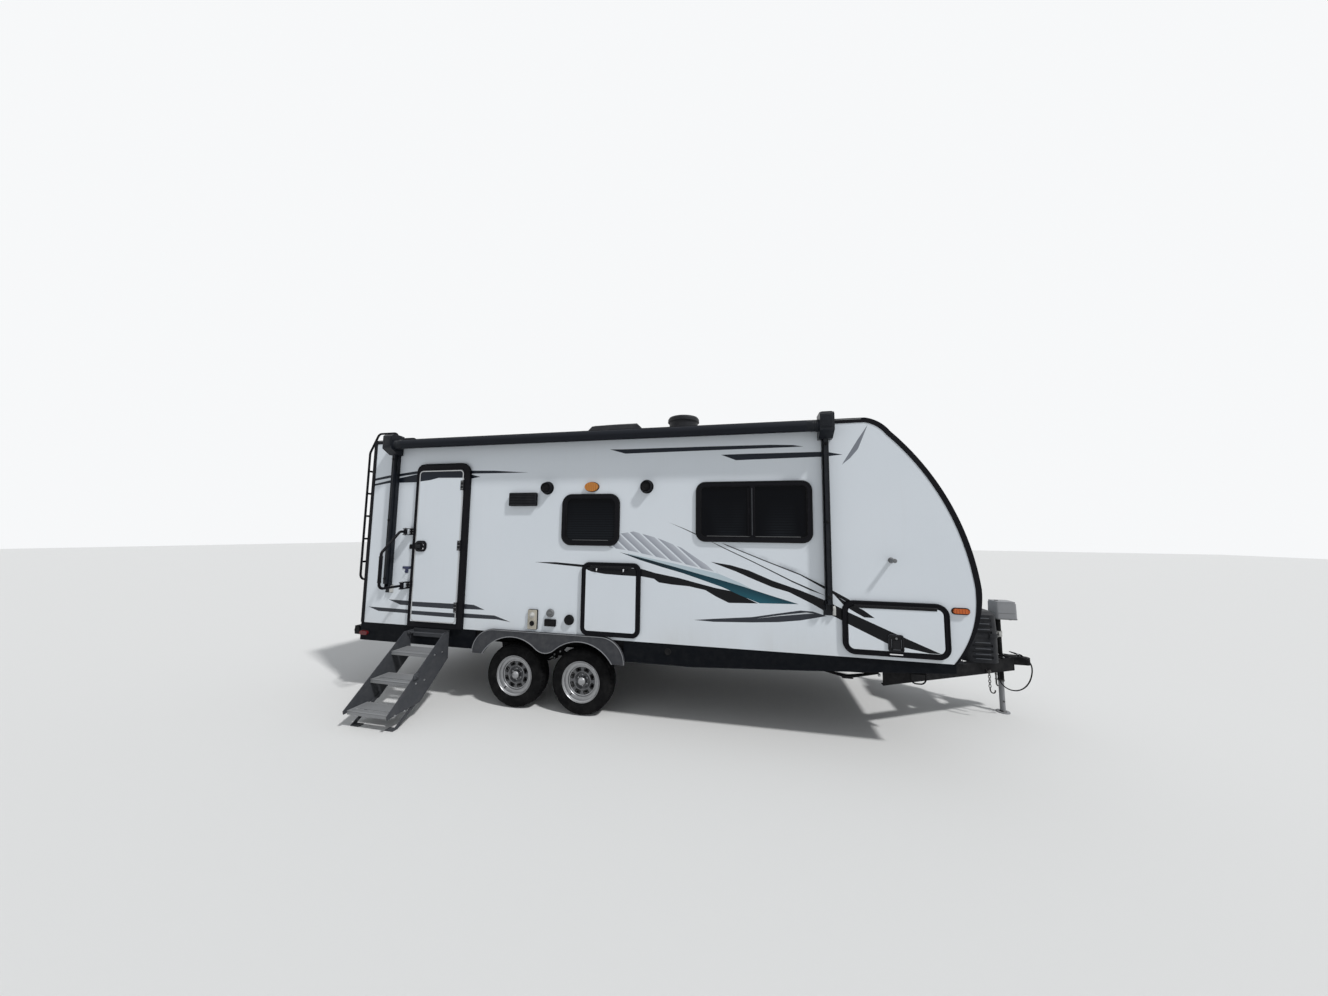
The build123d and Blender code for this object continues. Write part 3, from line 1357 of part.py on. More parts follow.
# Battery box with its lid, on a tray across the drawbars
battery_mid_x = (battery_x0 + battery_x1) / 2
battery_z = rail_z + tray_thick
with BuildPart() as battery_box:
    with Locations((battery_mid_x, 0, rail_z + tray_thick / 2)):
        Box(battery_length, 2 * tray_half, tray_thick)
    with BuildSketch(Plane.XY.offset(battery_z)):
        with Locations((battery_mid_x, 0)):
            Rectangle(battery_length - 4 * battery_lip, 2 * battery_half - 4 * battery_lip)
    extrude(amount=battery_height, taper=-1.5)
    with BuildSketch(Plane.XY.offset(battery_z + battery_height)):
        with Locations((battery_mid_x, 0)):
            Rectangle(battery_length, 2 * battery_half)
    extrude(amount=battery_lid, taper=12)
save("battery_box", battery_box.part)

# Tow lead: each bend of the cable as wide as its two runs allow
route = [Vector(jack_x + x, y, rail_z + z) for x, y, z in LEAD]
bends = []
for before, at, after in zip(route, route[1:], route[2:]):
    turn = math.radians((at - before).get_angle(after - at))
    bends.append(0.45 * min((at - before).length, (after - at).length) / math.tan(turn / 2))
print("tow lead bends", [round(bend) for bend in bends])
save("tow_lead", swept(route, bends, lead_radius))

with BuildPart() as tow_gland:
    with Locations(route[0] + Vector(0, 0, gland_height / 2)):
        Cylinder(gland_radius, gland_height)
save("tow_gland", tow_gland.part)

plug_end = route[-1]
with BuildPart() as tow_plug:
    with Locations((plug_end.X - plug_length / 2, plug_end.Y, rail_z + coupler_plate + plug_size / 2)):
        Box(plug_length, plug_size, plug_size)
    fillet(tow_plug.edges().filter_by(Axis.X), lead_radius)
save("tow_plug", tow_plug.part)

# Small fittings on the walls: speakers, flat boxes, louvres, round caps, holdback peg
wall_planes = {"door": (side_plane(half_width), 1), "road": (side_plane(-half_width), -1)}
with BuildPart() as wall_fittings:
    for x, z in SPEAKERS:
        with BuildSketch(side_plane(half_width)):
            with Locations((x, z)):
                Circle(speaker_radius)
        extrude(amount=speaker_base)
        with BuildSketch(side_plane(half_width + speaker_base)):
            with Locations((x, z)):
                Circle(speaker_radius - 4)
        extrude(amount=speaker_proud - speaker_base, taper=10)
        with BuildSketch(side_plane(half_width + speaker_proud)):
            with Locations((x, z)):
                Circle(speaker_nose - 6)
        extrude(amount=-speaker_recess, mode=Mode.SUBTRACT)
    for side, x, z, width, height, corner, proud in WALL_BOXES:
        plane, way = wall_planes[side]
        with BuildSketch(plane):
            with Locations((x, z)):
                RectangleRounded(width, height, corner)
        extrude(amount=way * proud)
    for side, x, z, radius, proud in WALL_CAPS:
        plane, way = wall_planes[side]
        with BuildSketch(plane):
            with Locations((x, z)):
                Circle(radius)
        extrude(amount=way * proud)
    for x, z, width, proud, count in WALL_LOUVRES:
        with Locations(Location((x, half_width + proud, z), (90, 0, 0))):
            with GridLocations(width, louvre_pitch, 1, count):
                Box(width, louvre_height, 2 * louvre_depth, mode=Mode.SUBTRACT)
    with BuildSketch(side_plane(half_width)):
        with Locations((nose_x - peg_x_back - chin_back, peg_z)):
            Circle(peg_radius)
    extrude(amount=peg_proud)
save("wall_fittings", wall_fittings.part)

# Lamps: amber and red markers on both sides, porch lamp, tail lamps and upper rear markers
amber_x = chin_x - AMBER_BACK[0]
red_x = rear_x + RED_IN[0]
with BuildPart() as lamps:
    with BuildSketch(side_plane(half_width)):
        with Locations((amber_x, AMBER_BACK[1])):
            SlotOverall(AMBER_BACK[2], AMBER_BACK[3])
        with Locations((red_x, RED_IN[1])):
            SlotOverall(RED_IN[2], RED_IN[3])
    extrude(amount=marker_proud, taper=12)
    mirror(about=Plane.XZ)
    with BuildSketch(side_plane(half_width)):
        with Locations((PORCH[0], PORCH[1])):
            Ellipse(PORCH[2], PORCH[3])
    extrude(amount=marker_proud)
    with Locations((rear_x - tail_proud / 2, -tail_y, tail_z), (rear_x - tail_proud / 2, tail_y, tail_z)):
        Box(tail_proud, tail_width, tail_height)
    corner_y = half_width - top_corner_in
    for y in (-corner_y, -top_lamp_pitch, 0, top_lamp_pitch, corner_y):
        with Locations((rear_x - marker_proud / 2, y, roof_z - top_lamp_drop)):
            Box(marker_proud, top_lamp_width, top_lamp_height)
save("lamps", lamps.part)
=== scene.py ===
import json
import math

import bmesh
import bpy
from mathutils import Matrix, Vector

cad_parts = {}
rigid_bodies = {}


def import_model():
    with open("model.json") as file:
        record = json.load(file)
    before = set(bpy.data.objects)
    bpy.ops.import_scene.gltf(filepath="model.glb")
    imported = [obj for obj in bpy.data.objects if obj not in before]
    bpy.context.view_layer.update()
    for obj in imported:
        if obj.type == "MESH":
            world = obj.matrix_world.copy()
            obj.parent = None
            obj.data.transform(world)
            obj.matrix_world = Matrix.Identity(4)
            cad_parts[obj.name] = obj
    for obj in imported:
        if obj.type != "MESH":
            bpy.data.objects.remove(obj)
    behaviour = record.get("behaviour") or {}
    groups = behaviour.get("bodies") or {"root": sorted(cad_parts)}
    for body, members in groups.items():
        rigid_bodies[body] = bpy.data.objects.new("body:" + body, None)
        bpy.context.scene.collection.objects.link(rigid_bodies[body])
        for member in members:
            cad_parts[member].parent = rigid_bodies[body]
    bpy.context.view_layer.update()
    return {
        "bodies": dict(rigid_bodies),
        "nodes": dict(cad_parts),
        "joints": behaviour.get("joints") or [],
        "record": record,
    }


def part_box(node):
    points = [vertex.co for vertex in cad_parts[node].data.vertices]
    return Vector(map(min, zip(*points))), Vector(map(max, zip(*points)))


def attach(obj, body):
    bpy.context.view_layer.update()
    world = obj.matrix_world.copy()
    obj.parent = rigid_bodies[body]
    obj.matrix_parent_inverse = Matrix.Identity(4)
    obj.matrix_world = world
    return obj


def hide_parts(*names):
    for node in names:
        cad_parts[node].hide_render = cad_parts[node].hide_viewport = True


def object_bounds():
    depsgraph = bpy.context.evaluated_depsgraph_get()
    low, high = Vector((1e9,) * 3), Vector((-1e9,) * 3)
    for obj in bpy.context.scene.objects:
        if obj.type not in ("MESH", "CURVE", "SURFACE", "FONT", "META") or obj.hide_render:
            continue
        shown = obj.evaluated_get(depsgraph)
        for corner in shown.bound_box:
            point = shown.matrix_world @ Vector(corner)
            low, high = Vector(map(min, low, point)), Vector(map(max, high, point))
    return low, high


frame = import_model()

nodes = frame["nodes"]
print("frame loaded")

# The camera stands where the photographer stood
view = {
    "place": (0.8733, -4.778, 1.886),
    "yaw": -12.34,
    "pitch": 5.2,
    "roll": 0.645,
    "focal": 391.9,
    "frameWidth": 1328,
}


def makeCamera(v):
    yaw, pitch, roll = (math.radians(v[k]) for k in ("yaw", "pitch", "roll"))
    side = Vector((math.cos(yaw), -math.sin(yaw), 0))
    ahead = Vector((math.sin(yaw), math.cos(yaw), 0))
    look = math.cos(pitch) * ahead + math.sin(pitch) * Vector((0, 0, 1))
    up = -math.sin(pitch) * ahead + math.cos(pitch) * Vector((0, 0, 1))
    right = math.cos(roll) * side + math.sin(roll) * up
    top = -math.sin(roll) * side + math.cos(roll) * up
    data = bpy.data.cameras.new("camera")
    data.sensor_width = 36
    data.lens = v["focal"] / v["frameWidth"] * data.sensor_width
    data.clip_end = 200
    cam = bpy.data.objects.new("camera", data)
    bpy.context.scene.collection.objects.link(cam)
    cam.matrix_world = Matrix((
        (right.x, top.x, -look.x, v["place"][0]),
        (right.y, top.y, -look.y, v["place"][1]),
        (right.z, top.z, -look.z, v["place"][2]),
        (0, 0, 0, 1)))
    bpy.context.scene.camera = cam


makeCamera(view)


# Shader maths: a wire is a socket that takes part in Python expressions
class Wire:
    def __init__(self, graph, socket):
        self.graph, self.socket = graph, socket

    def math(self, operation, *others):
        return self.graph.make("ShaderNodeMath", {"operation": operation}, [self, *others])

    def __add__(self, other):
        return self.math("ADD", other)

    def __sub__(self, other):
        return self.math("SUBTRACT", other)

    def __mul__(self, other):
        return self.math("MULTIPLY", other)

    def __truediv__(self, other):
        return self.math("DIVIDE", other)

    def __rsub__(self, other):
        return self.graph.make("ShaderNodeMath", {"operation": "SUBTRACT"}, [other, self])

    def __gt__(self, other):
        return self.math("GREATER_THAN", other)

    def __lt__(self, other):
        return self.math("LESS_THAN", other)

    __radd__ = __add__
    __rmul__ = __mul__

    def ramp(self, low, high):
        return self.graph.make("ShaderNodeMapRange", {"clamp": True}, [self, low, high, 0.0, 1.0])

    # 1 inside the part of each pitch given by share, 0 in the rest
    def bars(self, pitch, share):
        return (self / pitch).math("FRACT") < share


sockets = {"color": "Base Color", "rough": "Roughness", "metal": "Metallic", "coat": "Coat Weight",
           "coatRough": "Coat Roughness", "normal": "Normal", "shine": "Specular IOR Level"}


class Graph:
    def __init__(self, name):
        self.material = bpy.data.materials.new(name)
        self.material.use_nodes = True
        self.tree = self.material.node_tree
        self.tree.nodes.clear()
        self.output = self.tree.nodes.new("ShaderNodeOutputMaterial")
        self.shader = self.tree.nodes.new("ShaderNodeBsdfPrincipled")
        self.tree.links.new(self.shader.outputs[0], self.output.inputs["Surface"])
        coordinates = self.tree.nodes.new("ShaderNodeTexCoord")
        self.place = Wire(self, coordinates.outputs["Object"])
        split = self.make("ShaderNodeSeparateXYZ", {}, [self.place], outputs=3)
        self.x, self.y, self.z = split

    def make(self, kind, settings, values, outputs=1, stops=None, pick=0):
        node = self.tree.nodes.new(kind)
        for key, value in settings.items():
            setattr(node, key, value)
        if stops is not None:
            dots = node.mapping.curves[0].points
            while len(dots) < len(stops):
                dots.new(0.5, 0.5)
            for dot, stop in zip(dots, stops):
                dot.location, dot.handle_type = stop, "VECTOR"
            node.mapping.update()
        for key, value in values.items() if isinstance(values, dict) else enumerate(values):
            if isinstance(value, Wire):
                self.tree.links.new(value.socket, node.inputs[key])
            elif value is not None:
                node.inputs[key].default_value = value
        if outputs > 1:
            return [Wire(self, node.outputs[i]) for i in range(outputs)]
        return Wire(self, node.outputs[pick])

    def noise(self, scale, detail=3.0, rough=0.5, stretch=(1, 1, 1)):
        where = self.make("ShaderNodeMapping", {}, {"Vector": self.place, "Scale": stretch})
        return self.make("ShaderNodeTexNoise", {}, {"Vector": where, "Scale": scale, "Detail": detail,
                                                    "Roughness": rough})

    def mix(self, amount, first, second):
        first, second = ((*c, 1) if isinstance(c, tuple) and len(c) == 3 else c for c in (first, second))
        return self.make("ShaderNodeMix", {"data_type": "RGBA"}, {0: amount, 6: first, 7: second}, pick=2)

    def bump(self, height, strength, distance):
        return self.make("ShaderNodeBump", {},
                         {"Strength": strength, "Distance": distance, "Height": height})

    # Height of a drawn edge above each place along x
    def edge(self, points):
        xs, zs = [p[0] for p in points], [p[1] for p in points]
        x0, x1, z0, z1 = xs[0], xs[-1], min(zs), max(zs)
        tall = max(z1 - z0, 0.001)
        stops = [((x - x0) / (x1 - x0), (z - z0) / tall) for x, z in points]
        share = (self.x - x0) / (x1 - x0)
        return self.make("ShaderNodeFloatCurve", {}, [1.0, share], stops=stops) * tall + z0

    # 1 between two drawn edges that meet at both ends
    def between(self, upper, lower):
        span = (self.x > upper[0][0]) * (self.x < upper[-1][0])
        return span * (self.z < self.edge(upper)) * (self.z > self.edge(lower))

    def finish(self, **inputs):
        for key, value in inputs.items():
            socket = self.shader.inputs[sockets[key]]
            if isinstance(value, Wire):
                self.tree.links.new(value.socket, socket)
            else:
                socket.default_value = (*value, 1) if isinstance(value, tuple) else value
        return self.material


dustFilm = {"tint": (0.19, 0.187, 0.18), "scale": 14.0, "low": 0.42, "high": 0.72}


# One colour, clouded by its spread, with fine grain and a film of dust
def plainFinish(name, base, rough, metal=0.0, spread=0.12, grain=120.0, depth=0.0004, dust=0.0, shine=0.5):
    g = Graph(name)
    cloud = g.noise(6.0, 4.0)
    speck = g.noise(grain, 3.0)
    dark = tuple(c * (1 - spread) for c in base)
    light = tuple(min(1.0, c * (1 + spread)) for c in base)
    color = g.mix(cloud, dark, light)
    if dust:
        film = g.noise(dustFilm["scale"], 6.0, 0.65).ramp(dustFilm["low"], dustFilm["high"]) * dust
        color = g.mix(film, color, dustFilm["tint"])
    return g.finish(color=color, rough=cloud * 0.14 + (rough - 0.07), metal=metal,
                    normal=g.bump(speck, 0.25, depth), shine=shine)


# Stripes and swooshes on the side walls, and one painted shadow sliver: tint, upper edge, lower edge, in
# metres along x and up z
ink, navy, slate = (0.003, 0.0035, 0.005), (0.008, 0.012, 0.02), (0.034, 0.038, 0.047)
# The first grey here is a painted shadow: the sliver at the edge of the awning's shadow
shadowSliverGrey, mist = (0.2, 0.215, 0.245), (0.55, 0.58, 0.61)
stripesAndShadowSliver = [
    (navy, [(-3.66, 2.515), (-3.414, 2.556), (-2.957, 2.606), (-2.262, 2.588), (-1.968, 2.581),
            (-1.537, 2.55)],
     [(-3.66, 2.488), (-3.411, 2.524), (-2.954, 2.573), (-2.262, 2.553), (-1.967, 2.551), (-1.537, 2.55)]),
    (navy, [(-3.66, 2.446), (-3.409, 2.494), (-2.952, 2.572), (-2.357, 2.577), (-2.261, 2.54),
            (-2.146, 2.513)],
     [(-3.66, 2.426), (-3.406, 2.462), (-2.959, 2.466), (-2.793, 2.483), (-2.684, 2.507), (-2.352, 2.502),
      (-2.259, 2.496), (-2.146, 2.513)]),
    (slate, [(-3.295, 1.078), (-2.986, 1.075), (-2.341, 1.077), (-2.14, 1.07), (-2.005, 1.023)],
     [(-3.295, 1.078), (-3.121, 1.024), (-2.6, 1.02), (-2.337, 1.018), (-2.005, 1.023)]),
    (slate, [(-3.575, 0.982), (-2.964, 0.974), (-2.334, 0.972), (-1.876, 0.969), (-1.676, 0.91)],
     [(-3.575, 0.982), (-3.426, 0.938), (-2.331, 0.924), (-1.849, 0.928), (-1.676, 0.91)]),
    (navy, [(-0.581, 2.778), (-0.408, 2.774), (0.4, 2.772), (1.08, 2.766), (1.29, 2.756), (1.387, 2.738)],
     [(-0.581, 2.778), (-0.407, 2.726), (0.442, 2.731), (1.244, 2.735), (1.387, 2.738)]),
    (navy, [(0.598, 2.682), (0.863, 2.684), (1.584, 2.68), (1.735, 2.648)],
     [(0.598, 2.682), (0.746, 2.622), (1.583, 2.633), (1.735, 2.648)]),
    (ink, [(-1.418, 1.563), (-1.169, 1.568), (-0.852, 1.55), (-0.212, 1.526), (-0.063, 1.488),
           (0.178, 1.447), (0.362, 1.404), (0.542, 1.363), (0.703, 1.338), (0.945, 1.234)],
     [(-1.418, 1.563), (-1.169, 1.545), (-0.851, 1.524), (-0.747, 1.484), (-0.598, 1.463), (-0.407, 1.455),
      (-0.211, 1.45), (-0.079, 1.43), (-0.027, 1.395), (0.11, 1.379), (0.279, 1.369), (0.444, 1.338),
      (0.542, 1.283), (0.67, 1.226), (0.945, 1.234)]),
    (ink, [(0.493, 1.615), (0.688, 1.588), (0.862, 1.542), (1.078, 1.454), (1.333, 1.372), (1.55, 1.29),
           (1.743, 1.196), (2.148, 1.02), (2.471, 0.884)],
     [(0.493, 1.615), (0.607, 1.574), (0.735, 1.53), (0.893, 1.464), (1.077, 1.392), (1.228, 1.352),
      (1.331, 1.303), (1.44, 1.251), (1.6, 1.16), (1.76, 1.082), (2.049, 0.945), (2.378, 0.884),
      (2.471, 0.884)]),
    (ink, [(0.061, 2.006), (0.24, 1.936), (0.43, 1.853)], [(0.061, 2.006), (0.24, 1.928), (0.43, 1.841)]),
    (ink, [(0.6, 1.802), (0.656, 1.783), (0.988, 1.653), (1.335, 1.523), (1.542, 1.422), (1.747, 1.312),
           (1.8, 1.27)],
     [(0.6, 1.802), (0.656, 1.774), (0.988, 1.643), (1.335, 1.511), (1.542, 1.396), (1.747, 1.276),
      (1.8, 1.27)]),
    (ink, [(0.48, 1.822), (0.575, 1.78), (0.925, 1.62), (1.26, 1.459), (1.42, 1.392), (1.56, 1.33)],
     [(0.48, 1.822), (0.575, 1.771), (0.925, 1.61), (1.26, 1.446), (1.42, 1.376), (1.56, 1.33)]),
    (ink, [(1.612, 1.362), (1.7, 1.3), (1.782, 1.262), (1.862, 1.225), (1.955, 1.158)],
     [(1.612, 1.362), (1.7, 1.262), (1.761, 1.22), (1.868, 1.16), (1.955, 1.158)]),
    (slate, [(0.33, 1.046), (0.526, 1.068), (0.889, 1.104), (1.104, 1.146), (1.329, 1.188), (1.44, 1.184),
             (1.558, 1.15)],
     [(0.33, 1.046), (0.526, 1.039), (0.889, 1.054), (1.133, 1.071), (1.327, 1.097), (1.558, 1.15)]),
    (mist, [(0.93, 1.093), (1.15, 1.136), (1.38, 1.172), (1.45, 1.166)],
     [(0.93, 1.093), (1.15, 1.129), (1.38, 1.16), (1.45, 1.166)]),
    # Painted shadow: a grey sliver along the edge of the awning's shadow at the front top
    (shadowSliverGrey, [(1.724, 2.549), (1.8, 2.672), (1.87, 2.786), (1.962, 2.925)],
     [(1.724, 2.549), (1.8, 2.612), (1.87, 2.696), (1.962, 2.925)]),
]
tealSwoosh = {
    "upper": [(-0.448, 1.69), (-0.134, 1.62), (0.177, 1.545), (0.378, 1.494), (0.607, 1.438), (0.814, 1.385),
              (1.061, 1.314), (1.315, 1.245)],
    "lower": [(-0.448, 1.69), (-0.24, 1.618), (0.006, 1.549), (0.211, 1.497), (0.378, 1.446), (0.607, 1.374),
              (0.782, 1.301), (0.96, 1.236), (1.315, 1.245)],
    "dark": (0.006, 0.018, 0.026), "darkTo": 0.42,
    "deep": (0.007, 0.04, 0.058), "depth": 0.085,
    "light": (0.016, 0.095, 0.13), "lightFrom": 0.1,
}
# A pale band over the teal, and a soft grey shade over the double line
paleBand = {
    "upper": [(-0.36, 1.678), (0.108, 1.593), (0.575, 1.501), (0.78, 1.42), (0.9, 1.362)],
    "lower": [(-0.36, 1.67), (0.177, 1.545), (0.378, 1.494), (0.607, 1.438), (0.9, 1.362)],
    "tint": (0.46, 0.55, 0.6),
}
softShade = {
    "upper": [(0.62, 1.812), (0.8, 1.765), (1.05, 1.672), (1.335, 1.572), (1.56, 1.455)],
    "lower": [(0.62, 1.796), (0.8, 1.726), (1.05, 1.63), (1.335, 1.523), (1.56, 1.42)],
    "tint": (0.26, 0.28, 0.31),
    "depth": 0.045,
    "cloud": (0.3, 0.7),
}
# A fan of slanted bars over the teal swoosh
barFan = {
    "upper": [(-0.57, 1.742), (-0.46, 1.88), (-0.3, 1.905), (-0.05, 1.842), (0.2, 1.748), (0.567, 1.512)],
    "lower": [(-0.57, 1.738), (-0.3, 1.7), (0.0, 1.64), (0.3, 1.572), (0.567, 1.512)],
    "pitch": 0.115,
    "share": 0.8,
    "lean": 1.15,
    "dark": (0.3, 0.32, 0.365),
    "light": (0.52, 0.545, 0.59),
}
body = {
    "centreY": 0.356,
    "outerHalf": 1.2195,
    # The white and the cool tone are partly the wall's own colour and partly painted sky light and shade
    "whiteWithSkyTint": (0.705, 0.745, 0.785),
    "coolWithSkyTint": (0.665, 0.71, 0.755),
    "grime": (0.46, 0.43, 0.37),
    "grimeTop": (0.8, 1.25),
    "low": 0.3, "streaks": 0.07, "streak": (0.56, 0.8), "patchy": (0.35, 0.75),
    "hardware": (0.009, 0.009, 0.011),
    "leafHardware": 1.2505,
    "lidHardware": 1.2445,
}


# Walls in a white made greyer and bluer, partly their own colour and partly painted sky light and shade,
# dirtier near the ground; hardware is how far from the middle hinges and latches begin
def gelcoat(name, drawn, hardware=None):
    g = Graph(name)
    out = (g.y - body["centreY"]).math("ABSOLUTE")
    # Painted sky light and shade in part: the wall colour is toned greyer and bluer than plain white
    color = g.mix(g.noise(1.3, 4.0), body["whiteWithSkyTint"], body["coolWithSkyTint"])
    patchy = g.noise(2.2, 6.0, 0.6, (1, 1, 0.22))
    low = 1 - g.z.ramp(*body["grimeTop"])
    streak = g.noise(26.0, 3.0, 0.5, (1, 1, 0.04)).ramp(*body["streak"])
    soil = (low * low * body["low"] + streak * body["streaks"]) * patchy.ramp(*body["patchy"])
    color = g.mix(soil, color, body["grime"])
    if drawn:
        outside = out > body["outerHalf"]
        fan = g.between(barFan["upper"], barFan["lower"])
        lean = g.x + g.z * barFan["lean"]
        bars = lean.bars(barFan["pitch"], barFan["share"])
        tone = (lean / barFan["pitch"]).math("FRACT")
        color = g.mix(outside * fan * bars, color, g.mix(tone, barFan["dark"], barFan["light"]))
        cloud = g.noise(9.0, 4.0).ramp(*softShade["cloud"])
        shade = g.between(softShade["upper"], softShade["lower"])
        depth = ((g.edge(softShade["upper"]) - g.z) / softShade["depth"]).ramp(0.0, 1.0)
        color = g.mix(outside * shade * depth * cloud, color, softShade["tint"])
        color = g.mix(outside * g.between(paleBand["upper"], paleBand["lower"]), color, paleBand["tint"])
        # Print, and one painted shadow sliver
        for tint, upper, lower in stripesAndShadowSliver:
            color = g.mix(outside * g.between(upper, lower), color, tint)
        t = tealSwoosh
        swoosh = outside * g.between(t["upper"], t["lower"])
        down = ((g.edge(t["upper"]) - g.z) / t["depth"]).ramp(0.0, 1.0)
        teal = g.mix(down * g.x.ramp(t["lightFrom"], 1.0), t["deep"], t["light"])
        teal = g.mix(1 - g.x.ramp(0.0, t["darkTo"]), teal, t["dark"])
        color = g.mix(swoosh, color, teal)
    if hardware:
        color = g.mix(out > hardware, color, body["hardware"])
    return g.finish(color=color, rough=patchy * 0.1 + 0.26, metal=0.0,
                    normal=g.bump(g.noise(34.0, 2.0), 0.2, 0.0005), coat=0.05, coatRough=0.22, shine=0.16)


# Blinds show through in patches below the top part of the panes
glassPaint = {"pitch": 0.0254, "share": 0.72, "fade": (1.9, 2.25), "pane": (0.0025, 0.003, 0.0045),
              "blind": (0.01, 0.012, 0.015), "patch": (0.44, 0.6)}


def darkGlass():
    g = Graph("darkGlass")
    slats = g.z.bars(glassPaint["pitch"], glassPaint["share"]) * (1 - g.z.ramp(*glassPaint["fade"]))
    patch = g.noise(2.4, 2.0, 0.4, (1, 1, 0.3)).ramp(*glassPaint["patch"])
    veil = g.mix(slats * patch, glassPaint["pane"], glassPaint["blind"])
    return g.finish(color=veil, rough=0.06, normal=g.bump(g.noise(3.0, 1.0), 0.06, 0.002), shine=0.06)


# Ribbed lenses: red at the rear and low down, amber elsewhere, the porch lamp paler; each colour swings from
# a darker to a lighter tone across the ribs as painted facet shading
lensPaint = {
    "rearX": -3.6, "lowZ": 0.75, "porchZ": 2.2, "rib": 0.0035,
    "amber": ((0.36, 0.062, 0.006), (0.58, 0.125, 0.014)),
    "porch": ((0.3, 0.095, 0.008), (0.6, 0.225, 0.022)),
    "red": ((0.07, 0.003, 0.005), (0.14, 0.006, 0.009)),
}


def lensFinish():
    g = Graph("lensPlastic")
    red = ((g.x < lensPaint["rearX"]) + (g.z < lensPaint["lowZ"])) > 0.5
    ribs = ((g.x + g.y) / lensPaint["rib"]).math("SINE") * 0.5 + 0.5
    # Painted facet shading: each pair is a shaded and a lit tone, mixed by the ribs
    color = g.mix(g.z > lensPaint["porchZ"], g.mix(ribs, *lensPaint["amber"]),
                  g.mix(ribs, *lensPaint["porch"]))
    color = g.mix(red, color, g.mix(ribs, *lensPaint["red"]))
    return g.finish(color=color, rough=0.2, normal=g.bump(ribs, 0.5, 0.0012), coat=0.3, coatRough=0.05,
                    shine=0.3)


# Pressed wheel: barrel, and a darker disc set back in it; both are darker than their bright silver paint as
# painted shade from the fender, the disc the most
wheelPaint = {
    "discHalf": 1.1375, "barrel": (0.36, 0.365, 0.375),
    "disc": ((0.095, 0.098, 0.104), (0.135, 0.138, 0.145)),
    "dirt": (0.1, 0.09, 0.08), "dirtShare": 0.25, "dirtPatch": (0.46, 0.78),
}


def wheelFinish():
    g = Graph("wheelPaint")
    disc = (g.y - body["centreY"]).math("ABSOLUTE") < wheelPaint["discHalf"]
    cloud = g.noise(9.0, 4.0)
    dirt = g.noise(30.0, 5.0, 0.6).ramp(*wheelPaint["dirtPatch"])
    # Painted shade: barrel and disc greys are darker than the wheel's silver
    color = g.mix(disc, wheelPaint["barrel"], g.mix(cloud, *wheelPaint["disc"]))
    color = g.mix(dirt * wheelPaint["dirtShare"], color, wheelPaint["dirt"])
    return g.finish(color=color, rough=cloud * 0.12 + 0.28, metal=disc * -0.65 + 0.9,
                    normal=g.bump(g.noise(180.0, 2.0), 0.2, 0.0004), shine=0.4)


